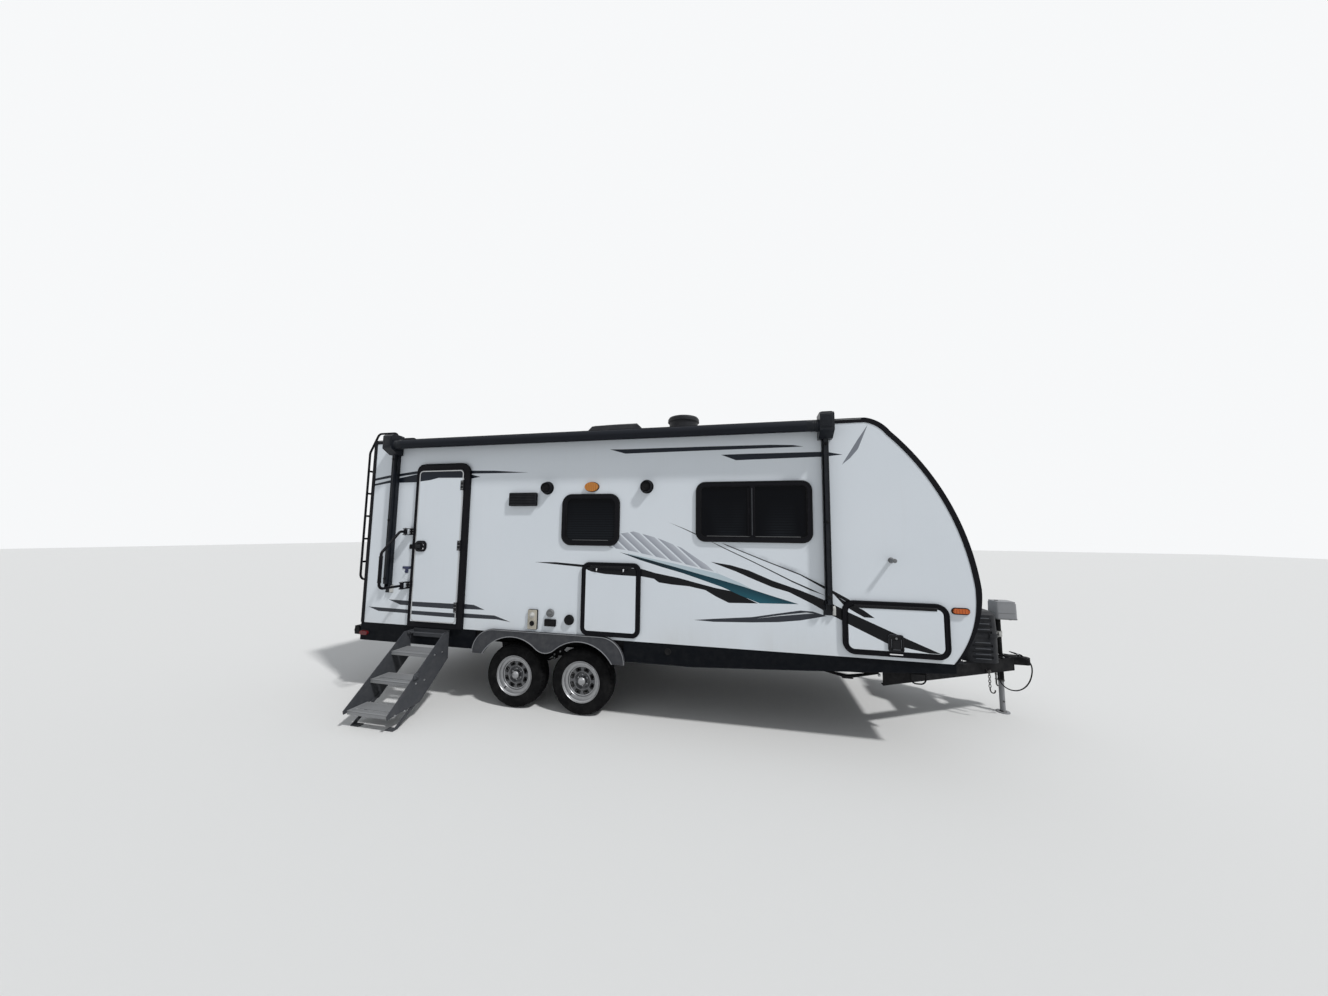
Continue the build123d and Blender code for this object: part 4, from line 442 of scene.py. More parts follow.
looks = {
    "shell": gelcoat("gelcoat", True),
    "front": gelcoat("plainGelcoat", False),
    "leaf": gelcoat("leafGelcoat", True, body["leafHardware"]),
    "lid": gelcoat("lidGelcoat", True, body["lidHardware"]),
    "roof": plainFinish("roofMembrane", (0.64, 0.64, 0.63), 0.75, grain=60.0, dust=0.2),
    "trim": plainFinish("blackTrim", (0.006, 0.006, 0.008), 0.48, grain=260.0, dust=0.01, shine=0.08),
    "skirt": plainFinish("skirtPaint", (0.004, 0.005, 0.007), 0.6, grain=90.0, dust=0.025, shine=0.06),
    "fender": plainFinish("fenderPlastic", (0.043, 0.045, 0.051), 0.6, grain=420.0, depth=0.0009, dust=0.15,
                          shine=0.18),
    "chassis": plainFinish("chassisPaint", (0.006, 0.006, 0.007), 0.6, grain=140.0, dust=0.06, shine=0.08),
    "tyre": plainFinish("tyreRubber", (0.0055, 0.0055, 0.006), 0.85, grain=240.0, dust=0.05, shine=0.06),
    "rim": wheelFinish(),
    "glass": darkGlass(),
    "step": plainFinish("stepPaint", (0.047, 0.05, 0.057), 0.62, grain=300.0, depth=0.0006, dust=0.12,
                        shine=0.3),
    "tread": plainFinish("treadPaint", (0.235, 0.24, 0.247), 0.66, grain=260.0, depth=0.0008, dust=0.12,
                         shine=0.3),
    "awning": plainFinish("awningPaint", (0.008, 0.01, 0.014), 0.34, grain=120.0, dust=0.04, shine=0.18),
    "fabric": plainFinish("rolledCloth", (0.013, 0.015, 0.02), 0.72, grain=500.0, shine=0.14),
    "unit": plainFinish("unitPlastic", (0.013, 0.014, 0.017), 0.5, grain=280.0, dust=0.08, shine=0.18),
    "head": plainFinish("jackPlastic", (0.25, 0.255, 0.265), 0.55, grain=200.0, dust=0.12, shine=0.3),
    "lamp": lensFinish(),
    "chrome": plainFinish("chrome", (0.8, 0.8, 0.82), 0.14, metal=1.0, spread=0.04),
    # Painted shade: the hub cap's chrome is dimmed to a dark grey
    "capChrome": plainFinish("capChrome", (0.36, 0.365, 0.38), 0.2, metal=1.0, spread=0.05, dust=0.1),
    "zinc": plainFinish("zincPlate", (0.42, 0.43, 0.44), 0.38, metal=0.9, dust=0.2),
    "satin": plainFinish("satinAluminium", (0.5, 0.51, 0.52), 0.42, metal=0.8, spread=0.06, dust=0.1),
    "foam": plainFinish("gripFoam", (0.007, 0.007, 0.008), 0.9, grain=600.0, depth=0.001, shine=0.1),
    "rubber": plainFinish("blackRubber", (0.006, 0.006, 0.007), 0.7, grain=340.0, dust=0.05, shine=0.14),
    "ivory": plainFinish("ivoryPlastic", (0.46, 0.43, 0.36), 0.5, grain=160.0, dust=0.25),
    "paleGrey": plainFinish("palePlastic", (0.5, 0.5, 0.48), 0.5, grain=160.0, dust=0.2),
    "midGrey": plainFinish("midGreyPlastic", (0.14, 0.145, 0.15), 0.5, grain=160.0, dust=0.2),
    # Near-black of the rings round the wheel windows, which are painted shade
    "windowShadeBlack": plainFinish("windowShadeBlack", (0.012, 0.012, 0.013), 0.6, dust=0.1, shine=0.15),
    "indigo": plainFinish("indigoPlastic", (0.03, 0.036, 0.085), 0.45, shine=0.35),
    "darkSteel": plainFinish("darkSteel", (0.06, 0.058, 0.056), 0.5, metal=0.6, spread=0.4, grain=90.0,
                             dust=0.25),
    # Lighter grey of the fender beads: a painted highlight
    "worn": plainFinish("paintedBeadHighlight", (0.22, 0.225, 0.235), 0.5, spread=0.5, grain=160.0, dust=0.1, shine=0.3),
    "slateGrey": plainFinish("slatePlastic", (0.05, 0.054, 0.062), 0.5, grain=160.0, dust=0.1, shine=0.3),
    "sealant": plainFinish("sealant", (0.46, 0.46, 0.44), 0.7, grain=70.0, depth=0.002, dust=0.4),
}
# Nodes that don't take the finish of their slot
special = {"front_wall": "front", "rear_wall": "front", "door_leaf": "leaf", "service_hatch_lid": "lid",
           "bay_door_lid": "lid", "bay_road_lid": "lid", "tow_lead": "rubber", "tow_gland": "rubber",
           "tow_plug": "rubber"}
for part in frame["record"]["subparts"]:
    mesh = nodes[part["node"]].data
    mesh.materials.clear()
    mesh.materials.append(looks[special.get(part["node"], part["material_slot"])])
print("finishes set")

# Places count from midway between the axles, on the centreline, at the ground
wheels = [("rear_door", -1), ("front_door", -1), ("rear_road", 1), ("front_road", 1)]
wheelBoxes = [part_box(f"tyre_{name}") for name, way in wheels]
middle = sum((low + high for low, high in wheelBoxes), Vector()) / 8
middle.z = 0


def spot(x, y, z):
    return middle + Vector((x, y, z))


def grab(*pieces):
    if bpy.context.mode != "OBJECT":
        bpy.ops.object.mode_set(mode="OBJECT")
    bpy.ops.object.select_all(action="DESELECT")
    for piece in pieces:
        piece.select_set(True)
        bpy.context.view_layer.objects.active = piece


def openEdit(piece, mode="FACE"):
    grab(piece)
    bpy.ops.object.mode_set(mode="EDIT")
    bpy.ops.mesh.select_mode(type=mode)
    bpy.ops.mesh.select_all(action="DESELECT")


def choose(piece, kind, test):
    shape = bmesh.from_edit_mesh(piece.data)
    for item in getattr(shape, kind):
        if test(item):
            item.select_set(True)
    bmesh.update_edit_mesh(piece.data)


# A single point drawn out along a line; the piece stays in edit mode with all of it selected
def drawLine(points):
    grab()
    bpy.ops.mesh.primitive_plane_add(size=0.01)
    piece = bpy.context.object
    bpy.ops.object.mode_set(mode="EDIT")
    bpy.ops.mesh.select_mode(type="VERT")
    bpy.ops.mesh.select_all(action="SELECT")
    bpy.ops.mesh.merge(type="CENTER")
    bpy.ops.transform.translate(value=points[0])
    for last, point in zip(points, points[1:]):
        bpy.ops.mesh.extrude_region_move(TRANSFORM_OT_translate={"value": point - last})
    bpy.ops.mesh.select_all(action="SELECT")
    return piece


def closeUp():
    bpy.ops.mesh.select_all(action="SELECT")
    bpy.ops.mesh.remove_doubles(threshold=0.00002)
    bpy.ops.mesh.fill_holes(sides=0)
    bpy.ops.mesh.normals_make_consistent(inside=False)
    bpy.ops.object.mode_set(mode="OBJECT")


# Each axis, with the direction in which a profile's radius starts
axes = {"x": (Vector((1, 0, 0)), Vector((0, 0, 1))), "y": (Vector((0, 1, 0)), Vector((0, 0, 1))),
        "z": (Vector((0, 0, 1)), Vector((1, 0, 0)))}


# Profile of (along the axis, radius) in millimetres, turned about it; way -1 points it the other way.
# A profile that doesn't start on the axis is closed to a ring
def turned(profile, centre, axis, steps=48, way=1):
    line, side = axes[axis]
    profile = profile + profile[:1] if profile[0][1] else profile
    piece = drawLine([centre + (line * (way * along) + side * radius) / 1000 for along, radius in profile])
    bpy.ops.mesh.spin(steps=steps, angle=2 * math.pi, center=centre, axis=line)
    closeUp()
    return piece


# Outline of places, filled and pushed out by a vector
def plate(outline, push):
    piece = drawLine(outline)
    bpy.ops.mesh.edge_face_add()
    bpy.ops.mesh.extrude_region_move(TRANSFORM_OT_translate={"value": push})
    closeUp()
    return piece


def block(centre, size):
    grab()
    bpy.ops.mesh.primitive_cube_add(size=1, location=centre)
    bpy.context.object.scale = size
    return bpy.context.object


def rod(start, end, radius, sides=16):
    grab()
    span = end - start
    bpy.ops.mesh.primitive_cylinder_add(vertices=sides, radius=radius, depth=span.length,
                                        location=(start + end) / 2,
                                        rotation=span.to_track_quat("Z", "Y").to_euler())
    return bpy.context.object


facing = {"door": (math.pi / 2, 0, 0), "road": (math.pi / 2, 0, math.pi), "up": (0, 0, 0),
          "rear": (math.pi / 2, 0, -math.pi / 2), "front": (math.pi / 2, 0, math.pi / 2)}


# Flat pad with rounded corners, standing out from a face; with a band it is a ring that wide
def pad(centre, width, height, radius, depth, way="door", band=None, corners=5):
    grab()
    bpy.ops.mesh.primitive_plane_add(size=1, location=(0, 0, 0))
    piece = bpy.context.object
    piece.scale = (width, height, 1)
    bpy.ops.object.transform_apply(scale=True)
    bpy.ops.object.mode_set(mode="EDIT")
    bpy.ops.mesh.select_all(action="SELECT")
    bpy.ops.mesh.bevel(offset=radius, segments=corners, affect="VERTICES")
    if band:
        bpy.ops.mesh.select_mode(type="FACE")
        bpy.ops.mesh.select_all(action="SELECT")
        bpy.ops.mesh.inset(thickness=band)
        bpy.ops.mesh.delete(type="FACE")
        bpy.ops.mesh.select_all(action="SELECT")
    bpy.ops.mesh.extrude_region_move(TRANSFORM_OT_translate={"value": (0, 0, depth)})
    closeUp()
    piece.rotation_euler = facing[way]
    piece.location = centre
    return piece


# Tube along a bent line; bend is how far each corner starts before its point
def tube(points, radius, bend=0.0, sides=3):
    piece = drawLine(points)
    if bend:
        bpy.ops.mesh.bevel(offset=bend, segments=4, affect="VERTICES")
    bpy.ops.object.mode_set(mode="OBJECT")
    bpy.ops.object.convert(target="CURVE")
    piece.data.bevel_depth, piece.data.bevel_resolution = radius, sides
    piece.data.use_fill_caps = True
    bpy.ops.object.convert(target="MESH")
    return piece


# Place on a circle about an axis, at a turn in degrees
def around(centre, radius, turn, axis="y"):
    across, up = radius * math.cos(math.radians(turn)), radius * math.sin(math.radians(turn))
    return centre + Vector({"x": (0, across, up), "y": (across, 0, up), "z": (across, up, 0)}[axis])


def arc(centre, radius, start, end, count=12):
    return [around(centre, radius, start + (end - start) * i / count) for i in range(count + 1)]


def joined(pieces):
    grab(*pieces)
    bpy.context.view_layer.objects.active = pieces[0]
    bpy.ops.object.join()
    return bpy.context.object


# The same piece again at each place, every copy with its own mesh, joined in one object
def repeated(piece, moves):
    pieces = [piece]
    for move in moves:
        grab(piece)
        bpy.ops.object.duplicate()
        copy = bpy.context.object
        copy.location += Vector(move)
        pieces.append(copy)
    return joined(pieces)


rounding = {"segments": 2, "sharpest": 40}     # how a bevel is made, and the angle it starts at


# One piece or a list of them, made one object that rides on a body
def finished(pieces, name, finish, rides="caravan", bevel=0.0, smooth=38):
    piece = joined(pieces) if isinstance(pieces, list) else pieces
    grab(piece)
    bpy.ops.object.transform_apply(location=True, rotation=True, scale=True)
    if bevel:
        edge = piece.modifiers.new("edge", "BEVEL")
        edge.width, edge.segments, edge.limit_method = bevel, rounding["segments"], "ANGLE"
        edge.angle_limit = math.radians(rounding["sharpest"])
        bpy.ops.object.modifier_apply(modifier="edge")
    bpy.ops.object.shade_smooth_by_angle(angle=math.radians(smooth))
    piece.name = piece.data.name = name
    piece.data.materials.clear()
    piece.data.materials.append(looks[finish])
    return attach(piece, rides)


# Wheels: tyre section, ridges, hub cap and nuts, out from the wheel's middle and from its axis
tyre = {
    "section": [(0, 338), (16.5, 337.8), (17.5, 330), (22.5, 329.8), (23.8, 337.2), (43, 335.6),
                (44.2, 328.2), (50, 327.8), (51.2, 334.4), (70, 330.2), (80, 324.5), (88, 315), (93, 304),
                (94.8, 302.6), (95.8, 299), (95.5, 297.6), (97.6, 285), (98.6, 262), (98, 244),
                (96.4, 242.4), (95.8, 238), (96.2, 236.2), (94, 223), (90, 211), (80, 198)],
    "steps": 180,
    "blockEvery": 4,
    "shoulder": (0.052, 0.0795),
    "treadLow": 0.324,
    "centreRib": 0.017,
    "grooveDeep": 0.0065,
}
wheel = {
    "ridges": [
        [(85, 208.5), (88.5, 210.5), (92.5, 209.5), (93.5, 206), (90.5, 202), (85, 201.5)],
        [(47.5, 88), (51.5, 91.5), (47.5, 95.5), (46.5, 91.5)],
        [(47, 140), (50.5, 143.5), (51.5, 148), (50, 153.5), (47, 156), (46, 148)],
        [(61.5, 156), (64.5, 158.5), (64, 164), (61.5, 165.5), (60.5, 160)],
    ],
    "cap": [(19.5, 0), (19.5, 44), (22.5, 44), (24, 42.2), (64, 41.8), (73, 38.5), (80, 28), (83, 14),
            (83.5, 0)],
    "windows": 8, "windowRing": 0.121,
    "window": (0.047, 0.061, 0.013, 0.0018),
    "windowBand": 0.011,
    "discFace": 0.0474,
    "nuts": 6, "nutRing": 0.0565,
    "nut": [(19, 0), (19, 11), (21, 11), (21.5, 9.5), (34, 9.5), (38.5, 7.5), (40, 0)],
    "valve": [(60, 0), (60, 6), (76, 4.8), (79, 3.8), (88, 3.8), (89, 0)],
    "valveRing": 0.1745, "valveTurn": 230,
}
for (name, way), (low, high) in zip(wheels, wheelBoxes):
    centre = (low + high) / 2
    rides = f"wheel_{name}"
    half = tyre["section"]
    section = [(-along, radius) for along, radius in reversed(half)] + half[1:]
    piece = turned(section, centre, "y", tyre["steps"])
    openEdit(piece)
    near, far = tyre["shoulder"]

    def isGroove(face, centre=centre):
        out = face.calc_center_median() - centre
        turn = math.atan2(out.z, out.x) / (2 * math.pi) * tyre["steps"]
        tread = math.hypot(out.x, out.z) > tyre["treadLow"]
        shoulder = near < abs(out.y) < far and math.floor(turn) % tyre["blockEvery"] == 0
        middleRib = abs(out.y) < tyre["centreRib"] and math.floor(turn) % (2 * tyre["blockEvery"]) == 2
        return tread and (shoulder or middleRib)

    choose(piece, "faces", isGroove)
    bpy.ops.mesh.extrude_region_shrink_fatten(TRANSFORM_OT_shrink_fatten={"value": -tyre["grooveDeep"]})
    finished(piece, f"treadedTyre_{name}", "tyre", rides, smooth=30)
    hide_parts(f"tyre_{name}")
    rings = [turned(profile, centre, "y", 72, way) for profile in wheel["ridges"]]
    finished(rings, f"rimRidges_{name}", "rim", rides, smooth=50)
    # Painted shade: dark rings round the wheel's windows stand for the shaded edges of the openings
    edges = []
    for i in range(wheel["windows"]):
        turn = 360 * (i + 0.5) / wheel["windows"]
        place = around(centre, wheel["windowRing"], turn) + Vector((0, way * wheel["discFace"], 0))
        edge = pad(place, *wheel["window"], "door" if way < 0 else "road", wheel["windowBand"], 3)
        edge.rotation_euler[1] = way * math.radians(turn)
        edges.append(edge)
    finished(edges, f"rimWindowShadeRings_{name}", "windowShadeBlack", rides, smooth=50)
    cap = turned(wheel["cap"], centre, "y", 40, way)
    turns = [360 * (i + 0.5) / wheel["nuts"] for i in range(wheel["nuts"])]
    nuts = [turned(wheel["nut"], around(centre, wheel["nutRing"], turn), "y", 6, way) for turn in turns]
    finished([cap] + nuts, f"hubCap_{name}", "capChrome", rides, bevel=0.0006, smooth=35)
    valve = turned(wheel["valve"], around(centre, wheel["valveRing"], wheel["valveTurn"]), "y", 12, way)
    finished(valve, f"tyreValve_{name}", "rubber", rides, smooth=40)
print("wheels made")

wallHalf = 1.22     # centreline to the outside of a side wall
ways = {"door": -1, "road": 1}


def onWall(way, x, z, out=0.0):
    return spot(x, ways[way] * (wallHalf + out), z)


# Turned piece standing out from a side wall: profile of (out from the wall, radius) in millimetres
def knob(way, x, z, profile, steps=24):
    return turned(profile, onWall(way, x, z), "y", steps, ways[way])


# Section of (up, out from the wall) in millimetres, drawn out along a side wall
def strip(way, x, z, long, section):
    return plate([onWall(way, x, z + up / 1000, out / 1000) for up, out in section], Vector((long, 0, 0)))


screw = {"head": [(0, 0), (0, 4.5), (1, 4.5), (2.2, 2.8), (2.4, 0)], "steps": 8}


def screws(way, places, out, size=1.0):
    profile = [(1000 * out + a * size, r * size) for a, r in screw["head"]]
    first = knob(way, *places[0], profile, screw["steps"])
    moves = [(x - places[0][0], 0, z - places[0][1]) for x, z in places[1:]]
    return repeated(first, moves)


# Windows: gasket and bead inside the frame, the bead grey and only along the bottom edge as a painted
# highlight, lip round its outside; sash, handle and seam beside a mullion
windows = {
    "places": [("door", 0.4655, 2.0255, 0.653, 0.549, 0.11, None),
               ("door", 2.146, 2.109, 1.108, 0.598, 0.095, 2.148),
               ("road", -1.25, 2.0255, 0.653, 0.549, 0.11, None),
               ("road", 1.3, 2.109, 1.108, 0.598, 0.095, 1.302)],
    "band": 0.045, "proud": 0.018, "gasket": 0.011, "bead": 0.0045, "lip": 0.01, "sash": 0.026,
    "rib": 0.006, "ribHalf": 0.017, "seam": 0.0075, "seamHalf": 0.006,
}
for i, (way, x, z, width, height, radius, mullion) in enumerate(windows["places"]):
    proud, gap, sash = windows["proud"], windows["gasket"], windows["sash"]
    wide, tall = width - 2 * windows["band"], height - 2 * windows["band"]
    corner = radius - windows["band"]
    gasket = pad(onWall(way, x, z, 0.0002), wide + 0.002, tall + 0.002, corner, 0.01, way, gap)
    lip = pad(onWall(way, x, z, proud - 0.001), width - 0.004, height - 0.004, radius, 0.0045, way,
              windows["lip"])
    finished([gasket, lip], f"windowGasket_{i}", "rubber", bevel=0.0015)
    # Painted highlight: a grey bead along the bottom inner edge only, where light catches the frame
    bead = block(onWall(way, x, z - tall / 2 + gap + windows["bead"] / 2, 0.003),
                 (wide - 2 * corner - 0.03, 0.006, windows["bead"]))
    finished(bead, f"windowBeadHighlight_{i}", "midGrey", bevel=0.0008)
    if mullion:
        rib, middleX = windows["rib"], mullion - sash - 0.01
        ribs = [block(onWall(way, mullion + side * windows["ribHalf"], z, proud + 0.0015),
                      (rib, rib, tall - 0.02)) for side in (-1, 1)]
        frame = block(onWall(way, middleX, z, 0.004), (sash, 0.008, tall - 0.03))
        grip = pad(onWall(way, middleX, z, 0.0075), 0.018, 0.07, 0.006, 0.01, way)
        finished(ribs + [frame, grip], f"windowSash_{i}", "trim", bevel=0.0012)
        seam = pad(onWall(way, mullion - windows["seamHalf"], z, proud + 0.0035), windows["seam"],
                   tall - 0.05, 0.003, 0.0025, way)
        finished(seam, f"windowSeam_{i}", "slateGrey", bevel=0.0006)
print("windows fitted")

# Entry door: bright edge on the leaf, raised tube round the frame, sill, paddle, locks, screws, bell, holder
door = {
    "leaf": (-1.699, -1.097, 0.856, 2.595), "corner": 0.047, "edge": 0.012,
    "frame": (-1.74, -1.016, 0.8, 2.676), "inset": 0.009,
    "face": 0.03,
    "tube": 0.0065, "cornerCut": 0.085, "innerTube": 0.0035, "innerCut": 0.03,
    "sill": [(0, 30), (0, 33), (38, 33), (48, 38), (50, 38), (50, 30)],
    "hingeX": -1.115, "hingeHeights": (1.036, 1.7255, 2.415),
    "hingeScrews": (-0.04, 0.0, 0.04), "hingeHalf": 0.009, "hingeOut": 0.0332,
    "latch": (-1.616, 1.71),
    "grip": [(-20, 57), (-20, 62), (0, 66), (20, 62), (20, 57)],
    "lock": [(44, 0), (44, 12), (50, 11.5), (51.5, 9.5), (50, 8.5), (50, 0)],
    "lockX": 0.04, "lockHeights": (0.014, -0.024), "key": (0.0018, 0.0012, 0.008), "keyOut": 0.0502,
    "bell": (-1.783, 1.7),
    "button": [(8, 0), (8, 9), (12.5, 8.5), (13.5, 0)],
    "holder": (-1.82, 1.448),
    "tab": [(-0.06, 0.012), (-0.055, 0.022), (0.055, 0.022), (0.06, 0.012), (0.06, -0.004), (0.02, -0.01),
            (0.02, -0.048), (0.012, -0.055), (-0.012, -0.055), (-0.02, -0.048), (-0.02, -0.01),
            (-0.06, -0.004)],
    "post": [(5, 0), (5, 8), (18, 6), (20, 9), (26, 8), (27, 0)],
}
x0, x1, z0, z1 = door["leaf"]
face, inset = door["face"], door["inset"]
edge = pad(onWall("door", (x0 + x1) / 2, (z0 + z1) / 2, face), x1 - x0 - 0.002, z1 - z0 - 0.002,
           door["corner"], 0.003, "door", door["edge"])
finished(edge, "doorEdge", "satin", rides="entry_door", bevel=0.0008)
x0, x1, z0, z1 = door["frame"]
outer = tube([onWall("door", x, z, face - 0.001) for x, z in (
    (x0 + inset, z0 + 0.004), (x0 + inset, z1 - inset), (x1 - inset, z1 - inset), (x1 - inset, z0 + 0.004))],
    door["tube"], door["cornerCut"])
inner = tube([onWall("door", x, z, face - 0.001) for x, z in (
    (x1 - 0.062, z0 + 0.06), (x1 - 0.062, z1 - 0.066), (x0 + 0.05, z1 - 0.066))], door["innerTube"],
    door["innerCut"])
sill = strip("door", x0 + 0.036, z0, x1 - x0 - 0.112, door["sill"])
finished([outer, inner, sill], "doorFrameTube", "trim", smooth=60)
x, z = door["latch"]
ring = pad(onWall("door", x, z, 0.044), 0.128, 0.103, 0.046, 0.004, "door", 0.01)
grip = strip("door", x - 0.034, z, 0.05, door["grip"])
finished([ring, grip], "doorPaddle", "unit", rides="entry_door", bevel=0.0015)
locks = [knob("door", x + door["lockX"], z + up, door["lock"]) for up in door["lockHeights"]]
slots = [block(onWall("door", x + door["lockX"], z + up, door["keyOut"]), door["key"])
         for up in door["lockHeights"]]
finished(locks + slots, "doorLocks", "chrome", rides="entry_door", bevel=0.0003)
heads = [(door["hingeX"] + side * door["hingeHalf"], z + up) for z in door["hingeHeights"]
         for side in (-1, 1) for up in door["hingeScrews"]]
finished(screws("door", heads, door["hingeOut"]), "doorHingeScrews", "zinc", rides="entry_door")
x, z = door["bell"]
base = pad(onWall("door", x, z), 0.034, 0.056, 0.014, 0.009, "door")
finished([base, knob("door", x, z, door["button"])], "doorBell", "rubber", bevel=0.001)
x, z = door["holder"]
tab = plate([onWall("door", x + along, z + up) for along, up in door["tab"]], Vector((0, -0.006, 0)))
finished([tab, knob("door", x, z - 0.036, door["post"])], "doorHolder", "indigo", bevel=0.0012)
print("entry door fitted")

# Hatches: lips round each frame, rail and clips on the service hatch, latches and locks on the bay lids
hatches = {
    "frames": [("door", 0.7105, 1.2065, 0.639, 0.747, 0.08), ("door", 3.3625, 1.0685, 0.861, 0.471, 0.1),
               ("road", 3.3625, 1.0685, 0.861, 0.471, 0.1)],
    "proud": 0.024, "lip": 0.011, "seatIn": 0.035,
    "rail": (0.706, 1.5115, 0.372), "railShape": [(-12, 24.2), (-12, 30), (-4, 35), (6, 35), (12, 24.2)],
    "clips": (0.56, 0.852),
    "clip": [(32, 0), (32, 8), (35, 8), (36.5, 6), (38.5, 5), (39, 0)],
    "latch": (3.3625, 0.951), "lockUp": 0.043, "leverLong": 0.06,
    "latchRim": (0.128, 0.15, 0.024, 0.006), "latchRimWide": 0.005,
    "wing": (0.006, 0.008, 0.074), "wingSide": 0.039,
    "lever": [(-58, 32.5), (-58, 38), (-54, 41.5), (-46.5, 41.5), (-46.5, 32.5)],
    "core": [(32.5, 0), (32.5, 9.5), (40.5, 9.5), (41.5, 8), (41.5, 0)],
    "strip": (3.3625, 0.8555, 0.106, 0.01),
}
for i, (way, x, z, width, height, radius) in enumerate(hatches["frames"]):
    face, inner = hatches["proud"] - 0.001, hatches["seatIn"]
    lip = pad(onWall(way, x, z, face), width - 0.006, height - 0.006, radius, 0.0055, way, hatches["lip"])
    seat = pad(onWall(way, x, z, face), width - 0.068, height - 0.068, radius - inner, 0.004, way, 0.005)
    finished([lip, seat], f"hatchLip_{i}", "trim", bevel=0.002)
x, z, long = hatches["rail"]
rail = strip("door", x - long / 2, z, long, hatches["railShape"])
finished(rail, "hatchRail", "trim", rides="hatch_lid", bevel=0.0012)
clips = [knob("door", x, z - 0.001, hatches["clip"]) for x in hatches["clips"]]
tabs = [pad(onWall("door", x, z - 0.006, 0.0335), 0.011, 0.028, 0.004, 0.003, "door")
        for x in hatches["clips"]]
finished(clips + tabs, "hatchClips", "chrome", rides="hatch_lid", bevel=0.0005)
for way in ways:
    x, z = hatches["latch"]
    long = hatches["leverLong"]
    lever = strip(way, x - long / 2, z, long, hatches["lever"])
    rim = pad(onWall(way, x, z, 0.0235), *hatches["latchRim"], way, hatches["latchRimWide"])
    wings = [block(onWall(way, x + side * hatches["wingSide"], z, 0.0365), hatches["wing"])
             for side in (-1, 1)]
    finished([lever, rim] + wings, f"bayLatch_{way}", "slateGrey", rides=f"bay_lid_{way}", bevel=0.0012)
    core = knob(way, x, z + hatches["lockUp"], hatches["core"])
    finished(core, f"bayLock_{way}", "midGrey", rides=f"bay_lid_{way}", bevel=0.0004)
    x, z, long, tall = hatches["strip"]
    finished(pad(onWall(way, x, z, 0.0238), long, tall, 0.004, 0.004, way), f"bayStrip_{way}", "chrome",
             bevel=0.0008)
print("hatches fitted")

# Wall fittings: places as (x, z) in metres, profiles as (out from the wall, radius) in millimetres
fittings = {
    "panel": (-0.16, 0.9575, 0.104, 0.201, 0.02),
    "tap": [(20, 0), (20, 30), (28, 30), (29, 22), (34, 20), (38, 12), (54, 11), (56, 9), (56, 0)],
    "hole": [(24, 0), (24, 27), (32, 26), (32, 21), (25.5, 19), (25.5, 0)],
    "filler": (0.04, 1.032),
    "fillerCap": [(0, 0), (0, 44), (6, 44), (9, 40.5), (23, 40), (26, 37.5), (26.5, 30), (23.5, 28.5),
                  (23.5, 12), (31, 10.5), (32, 0)],
    "socket": (0.044, 0.932),
    "inlet": (0.258, 0.973),
    "inletRing": [(0, 0), (0, 54), (4, 54), (7, 50.5), (24, 50), (28, 47), (29, 38), (26, 36), (26, 0)],
    "skirt": (1.318, 0.725),
    "skirtRing": [(0, 0), (0, 33), (6, 32), (8, 27), (5, 24), (4, 0)],
    "vent": (-0.3315, 2.2465, 0.331, 0.147, 0.034),
    "slats": 7, "slatPitch": 0.0175,
    "slat": [(48, 33), (53, 33), (48, 39), (43, 39)],
    "speakers": ((-0.046, 2.37), (1.079, 2.37)),
    "cone": [(47.5, 0), (54.5, 6), (56, 12), (50, 17), (54.5, 22), (50, 27), (56, 32), (52, 37),
             (58, 41.5), (60, 44), (60, 50), (48, 50), (47.5, 0)],
    "collar": [(0, 66), (0, 72), (6, 71.5), (15, 69), (16, 64), (0, 64)],
    "peg": (3.358, 1.671),
    "pegShape": [(0, 0), (0, 26), (4, 25.5), (9, 18), (85, 16.5), (87, 18.5), (98, 18.5), (101, 16),
                 (101, 0)],
}
f = fittings
x, z, width, height, out = f["panel"]
lid = pad(onWall("door", x, z, out - 0.001), width, height, 0.01, 0.006)
rim = pad(onWall("door", x, z, out + 0.004), width - 0.01, height - 0.01, 0.008, 0.003, band=0.004)
finished([lid, rim], "waterPanel", "ivory", bevel=0.0012)
finished(knob("door", x, z + 0.048, f["tap"]), "waterTap", "paleGrey", bevel=0.0008)
finished(knob("door", x, z - 0.04, f["hole"]), "waterInlet", "rubber", bevel=0.0008)
x, z = f["filler"]
bar = block(onWall("door", x, z, 0.028), (0.052, 0.012, 0.01))
finished([knob("door", x, z, f["fillerCap"], 32), bar], "fillerCap", "midGrey", bevel=0.0012)
x, z = f["socket"]
flap = pad(onWall("door", x, z - 0.003, 0.019), 0.112, 0.056, 0.006, 0.007)
rib = rod(onWall("door", x - 0.048, z + 0.03, 0.022), onWall("door", x + 0.048, z + 0.03, 0.022), 0.0045, 12)
pull = block(onWall("door", x, z - 0.027, 0.028), (0.034, 0.006, 0.006))
finished([flap, rib, pull], "socketFlap", "rubber", bevel=0.001)
x, z = f["inlet"]
hinge = rod(*[onWall("door", x + side * 0.016, z + 0.04, 0.028) for side in (-1, 1)], 0.004, 12)
finished([knob("door", x, z, f["inletRing"], 36), hinge], "powerInlet", "rubber", bevel=0.0012)
finished(knob("door", *f["skirt"], f["skirtRing"], 32), "skirtRing", "rubber", bevel=0.0008)
x, z, width, height, out = f["vent"]
slat = strip("door", x - width / 2 + 0.012, z, width - 0.024, f["slat"])
slats = repeated(slat, [(0, 0, -f["slatPitch"] * i) for i in range(1, f["slats"])])
border = pad(onWall("door", x, z, out - 0.001), width - 0.004, height - 0.004, 0.01, 0.0055, band=0.009)
